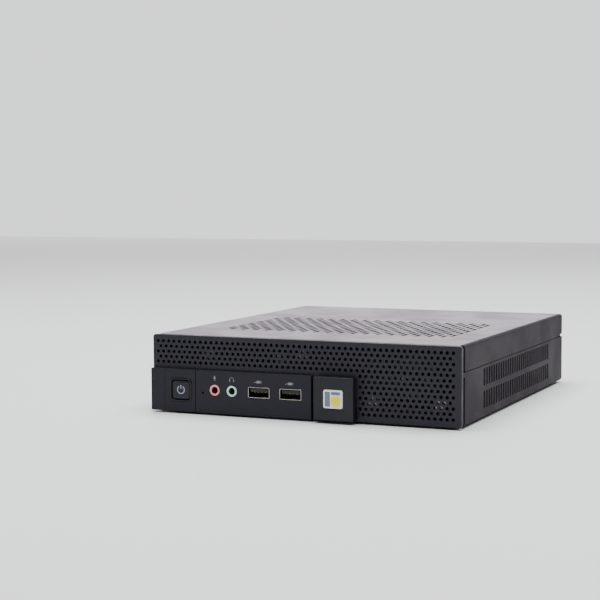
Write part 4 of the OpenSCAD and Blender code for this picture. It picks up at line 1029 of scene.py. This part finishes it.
# %% Block, plate and print
plate = span("badge_plate")
plate_level = -plate.low.y
pocket = hole(around(plate, 0.2, 1.3, 5))
block_outline = around(badge, 0, 0.9, 5)
block = [
    plate_shape([block_outline, pocket], badge_stand, moulded(0.6)),
    plate_shape([block_outline], badge_stand - 0.602, edges(badge_stand - 0.61, 0, 0)),
]
solid("badge_holder", block, "badge_plastic", slot="bezel_plastic", stands_for=("badge_block",))
white_plate = plate_shape([around(plate, 0, 1.2)], plate_level - 0.02, edges(1.05, 0.25, 0))
solid("badge_white_plate", [white_plate], "badge_white", slot="badge_face", stands_for=("badge_plate",))


def badge_print(name, outlines, look):
    """A film on the badge plate."""
    film = [plate_shape([outline], plate_level - 0.002, edges(0.02, 0.005, 0, 1)) for outline in outlines]
    solid(name, film, look, slot="badge_face")


bx, bz = plate.mid.x, plate.mid.z
bars = [rounded(bx - 3.2, bz, 3.2, plate.h - 2.0, 0.6, 4), rounded(bx + 1.75, bz + 3.3, 5.6, 1.8, 0.6, 4)]
badge_print("badge_slate_bar", bars, "badge_slate")
badge_print("badge_yellow_disc", [circle(bx + 1.75, bz - 1.1, 3.05, 40)], "badge_yellow")

# %% [markdown]
# The folded cover
#
# The cover is one steel sheet, slotted on top and folded down both sides. Only its roof has
# slots, so the roof is a perforated sheet, and each side is a folded section drawn once and
# made as long as the case. The roof and the folds meet on the flat, where no seam shows.

# %% Sizes of the steel
cover = span("top_cover")
half_metal = cover.high.x
inside_half = half_metal - lid_t
fold_r = 1.8
lead = 0.4
flat_half = half_metal - fold_r - lead
seam_h = 30.0
seam_gap = 0.4
notch_y = case_d - 11
notch_z = seam_h + 1.4
flange_low = 36.9
screw_x = 60.0
screw_z = (flange_low + roof_z) / 2
slot_w = 2.2
slot_l = 9.9
slot_columns = 37
slot_step_x = 3.96
slot_step_y = 12.66
field_x = 1.5
first_slot = 43.0 + slot_l / 2
FAR = 500
print(f"steel {2 * half_metal:.1f} mm wide, cover {case_d - cover.low.y:.1f} mm long")

# %% Slotted roof
sheet(
    "cover_roof",
    [box_outline(-flat_half, flat_half, cover.low.y, case_d)],
    [(0, 0), (0, -lid_t)],
    hole(rounded(0, 0, slot_w, slot_l, slot_w / 2 - 0.001, 5)),
    lip(0.04, 0.012, lid_t),
    {
        "Columns": slot_columns, "Rows": 7, "First X": field_x - slot_columns // 2 * slot_step_x,
        "First Y": first_slot + 5.5 * slot_step_y, "Column Pitch": slot_step_x, "Row Pitch": -slot_step_y,
        "Row Shift": 0, "Column Shift": slot_step_y / 2, "Thickness": lid_t,
        "Keep Above": first_slot - 1, "Keep Right Of": FAR, "Keep Left Of": FAR,
    },
    case_h, "top", "cover_paint", ("top_cover",),
)


# %% Folded sides and rear flange
def fold_section(side, corner_z, up, end_z):
    """A side wall with its fold, as an outline seen from the front."""
    outer, inner = [], []
    for radius, points in ((fold_r, outer), (fold_r - lid_t, inner)):
        centre_x = half_metal - fold_r
        centre_z = corner_z - up * fold_r
        points.append((centre_x - lead, centre_z + up * radius))
        for i in range(9):
            a = math.radians(90 - 90 * i / 8)
            points.append((centre_x + radius * math.cos(a), centre_z + up * radius * math.sin(a)))
        points.append((centre_x + radius, end_z))
    outline = [(side * x, z) for x, z in outer + inner[::-1]]
    return hole(outline) if side * up > 0 else outline


def screw_holes(radius):
    """Holes for the two thumb screws."""
    return [hole(circle(x, screw_z, radius, 20)) for x in (-screw_x, screw_x)]


cover_length = case_d - neck_d
long_edge = lip(0.12, 0.035, cover_length - 0.12) + [(0.12, -cover_length)]
cover_parts = []
for side in (-1, 1):
    cover_parts.append(plate_shape([fold_section(side, case_h, 1, notch_z)], -neck_d, long_edge))
    skirt = side_box(side, inside_half, half_metal, seam_h, notch_z)
    cover_parts.append(plate_shape([skirt], -neck_d, edges(notch_y - neck_d, 0.12, 0.12)))
flange = box_outline(-inside_half, inside_half, flange_low, roof_z - 0.01)
cover_parts.append(plate_shape([flange] + screw_holes(1.6), case_d, edges(lid_t, 0.12, 0), "back"))
# The cover's folded sides and rear flange take the darker chassis_paint, as painted shade on the same steel
# sheet as the roof
solid("cover_sides", cover_parts, "chassis_paint", slot="cover_paint")

# %% [markdown]
# The chassis
#
# The chassis is the lower half: a floor, two slotted sides, a front wall that the bezel
# clips to, and a rear wall that holds the ports. A strip stands up inside each side to back
# the seam, and a small tab reaches forward on each side to meet the bezel.

# %% Slotted sides
side_slot_w = 2.6
side_slot_h = 9.8
side_slot_step = 4.75
side_slot_start = neck_d + 34
side_numbers = {
    "Columns": 30, "Rows": 2, "First Y": 5.2 + side_slot_h / 2, "Row Pitch": 13.0, "Row Shift": 0,
    "Column Shift": 0, "Thickness": lid_t, "Keep Above": 0, "Keep Right Of": -FAR, "Keep Left Of": FAR,
}
for facing, sign in (("right", 1), ("left", -1)):
    numbers = dict(side_numbers)
    numbers["First X"] = sign * (side_slot_start + side_slot_w / 2)
    numbers["Column Pitch"] = sign * side_slot_step
    sheet(
        "chassis_side_" + facing,
        [side_box(sign, neck_d, case_d, fold_r + lead, seam_h - seam_gap)],
        [(0, 0), (0, -lid_t)],
        hole(rounded(0, 0, side_slot_w, side_slot_h, 0.3, 3)),
        lip(0.14, 0.04, lid_t),
        numbers, half_metal, facing, "chassis_paint", ("chassis_tray",) if facing == "right" else (),
    )

# %% Floor with its bracket holes
bracket_half = 37.5
bracket_places = [(x, y) for x in (-bracket_half, bracket_half) for y in (-bracket_half, bracket_half)]
floor_holes = [hole(circle(x, y - case_d / 2, 1.65, 24)) for x, y in bracket_places]
floor_sheet = box_outline(-flat_half, flat_half, -case_d, -neck_d)
tray = [plate_shape([fold_section(side, 0, -1, fold_r + lead)], -neck_d, long_edge) for side in (-1, 1)]
tray.append(plate_shape([floor_sheet] + floor_holes, 0, edges(lid_t, 0, 0), "bottom"))

# %% Front wall, rear wall and the strip behind the screws
wall_half = inside_half - 0.2
wall_low = lid_t + 0.01
both_edges = edges(lid_t, 0.1, 0.1)
tray.append(plate_shape(
    [
        box_outline(-wall_half, wall_half, wall_low, roof_z - 0.2),
        hole(box_outline(window_left, window_right, window_low, panel.h)),
        hole(box_outline(-inside_half + 8, inside_half - 8, seam_h, roof_z - 5)),
        hole(box_outline(badge.high.x + 2, inside_half - 14, 4.6, seam_h - 4)),
    ],
    -neck_d - 0.01, both_edges,
))
shield_half = 158.75 / 2
shield_h = 25
shield_z = span("port_shield").low.z + 1.5
lock_x = (shield_half + inside_half) / 2
tray.append(plate_shape(
    [
        box_outline(-wall_half, wall_half, wall_low, 36.5),
        hole(box_outline(-shield_half, shield_half, shield_z, shield_z + shield_h)),
        hole(rounded(-lock_x, seam_h / 2, 3.0, 7.0, 1.45, 6)),
    ],
    case_d, edges(lid_t, 0.12, 0.1), "back",
))
backing = box_outline(-inside_half + 4, inside_half - 4, 33.5, roof_z - 1)
tray.append(plate_shape([backing] + screw_holes(1.4), case_d - lid_t - 0.01, both_edges, "back"))

# %% Strips behind the seams, and tabs that meet the bezel
for side in (-1, 1):
    strip = side_box(side, inside_half - lid_t, inside_half - 0.01, seam_h - 1.6, seam_h + 5)
    tray.append(plate_shape([strip], -neck_d - 3, edges(cover_length - 6, 0.1, 0.1)))
    tab = side_box(side, half_metal - lid_t, half_metal, 27, seam_h - seam_gap - 0.01)
    tray.append(plate_shape([tab], -rim_d - 0.4, edges(neck_d - rim_d - 0.41, 0.15, 0)))
solid("chassis_shell", tray, "chassis_paint")

# %% [markdown]
# Screws and feet
#
# Two thumb screws hold the cover, so that it opens without a tool. Their rims are knurled,
# which is a repeated notch: the outline of the head is drawn with many small teeth. The feet
# are soft rubber discs with a rounded edge and a shallow dish that grips the desk.

# %% Thumb screws
def knurl(x, z, r, teeth=30, depth=0.16):
    """A toothed circle."""
    points = []
    for i in range(teeth * 2):
        points.append(polar(x, z, r - depth * (i % 2), math.pi * i / teeth))
    return points


def cross(x, z, thin, far):
    """A cross with four arms, counter-clockwise."""
    corners = [(-thin, -far), (thin, -far), (thin, -thin)]
    turned = []
    for i in range(4):
        turned += corners
        corners = [(-v, u) for u, v in corners]
    return [(x + u, z + v) for u, v in turned]


screw_r = 3.0
screw_parts = []
for x in (-screw_x, screw_x):
    head = knurl(x, screw_z, screw_r)
    drive = hole(cross(x, screw_z, 0.35, 1.6))
    shank = [(1.4, 0), (1.4, -4.2), (1.1, -4.5)]
    screw_parts += [
        plate_shape([head, drive], case_d + 3.2, edges(1.4, 0.2, 0), "back"),
        plate_shape([head], case_d + 1.798, edges(1.78, 0, 0.15), "back"),
        turned_shape(shank, (x, screw_z, case_d), "back", 20),
    ]
solid("thumb_screws", screw_parts, "zinc_steel", stands_for=("cover_screws",))

# %% Rubber feet
feet_h = -span("rubber_feet").low.z
foot_section = [(6.0, 0.0), (6.0, feet_h - 0.45), (5.9, feet_h - 0.15), (5.6, feet_h), (4.6, feet_h),
                (4.4, feet_h - 0.12), (0.01, feet_h - 0.3)]
foot_places = [(x, -y, 0) for x in (-half_w + 14, half_w - 14) for y in (20, case_d - 14)]
feet = [turned_shape(foot_section, place, "bottom", 36) for place in foot_places]
solid("soft_feet", feet, "foot_rubber", stands_for=("rubber_feet",))

# %% [markdown]
# Shade felt and the fan
#
# A sheet of black felt lies behind the slots of each side. It is painted shade: a dark sheet
# that stands in for the shade inside the case, and it is why the slots look black even in a
# bright room. The fan under the roof slots is a moulding with a round hub and swept blades. A
# blade could be a twisted box, but its curve shows through the slots when it turns, so each
# blade is a grid of points bent along its chord and its span.

# %% Felt behind the side slots
felt = []
for side in (-1, 1):
    outline = side_box(side, inside_half - 0.3, inside_half - 0.06, 3.2, seam_h - 1.8)
    felt.append(plate_shape([outline], -neck_d - 26, edges(cover_length - 52, 0.05, 0.05)))
# Painted shade: black felt behind the side slots stands in for the shade inside the case
solid("dust_filters", felt, "painted_shade_felt", slot="chassis_paint")

# %% Fan rotor
rotor = span("fan_rotor")
blade_count = 7
hub_r = 15.0
tip_r = rotor.w / 2 - 0.15
blade_low = rotor.low.z + 0.5
blade_high = rotor.high.z - 1.2


def blade(turn, spans=9, chords=9):
    """One swept blade: an upper and a lower grid of points with closed edges."""
    verts, faces = [], []
    middle = (blade_low + blade_high) / 2
    rise = (blade_high - blade_low) / 2 - 0.7
    for level in (1, -1):
        for i in range(spans):
            f = i / (spans - 1)
            r = hub_r - 0.6 + (tip_r - hub_r + 0.6) * f
            centre = turn + math.radians(16) * f ** 1.3
            for k in range(chords):
                s = -1 + 2 * k / (chords - 1)
                a = centre + math.radians(20 - 2.5 * f) * s
                thick = 0.15 + 0.5 * (1 - s * s)
                z = middle + rise * (1 - 0.25 * f) * (s - 0.22 * (1 - s * s)) + level * thick
                verts.append((*polar(rotor.mid.x, rotor.mid.y, r, a), z))
    half = spans * chords
    for i in range(spans - 1):
        for k in range(chords - 1):
            p = i * chords + k
            faces.append((p, p + chords, p + chords + 1, p + 1))
            faces.append((half + p, half + p + 1, half + p + chords + 1, half + p + chords))
    rim_points = list(range(chords))
    rim_points += [i * chords + chords - 1 for i in range(1, spans)]
    rim_points += [(spans - 1) * chords + k for k in range(chords - 2, -1, -1)]
    rim_points += [i * chords for i in range(spans - 2, 0, -1)]
    for here, there in zip(rim_points, rim_points[1:] + rim_points[:1]):
        faces.append((here, there, half + there, half + here))
    return [at(*v) for v in verts], faces


hub_top = rotor.high.z
hub_bottom = rotor.low.z + 0.1
hub_section = [
    (0.01, hub_top - 0.38), (1.5, hub_top - 0.38), (1.5, hub_top - 1.6), (hub_r - 1.6, hub_top - 1.6),
    (hub_r - 1.6, hub_bottom), (hub_r - 0.2, hub_bottom), (hub_r, hub_bottom + 0.25),
    (hub_r, hub_top - 1.4), (hub_r - 0.35, hub_top - 0.5), (hub_r - 1.2, hub_top - 0.06),
    (hub_r - 2.2, hub_top), (8.0, hub_top), (7.7, hub_top - 0.2), (0.01, hub_top - 0.2),
]
hub = turned_shape(hub_section, (rotor.mid.x, rotor.mid.y, 0), "top", 64)
rotor_parts = [hub] + [blade(2 * math.pi * i / blade_count) for i in range(blade_count)]
solid("fan_blades", rotor_parts, "black_plastic", body="fan", stands_for=("fan_rotor",))
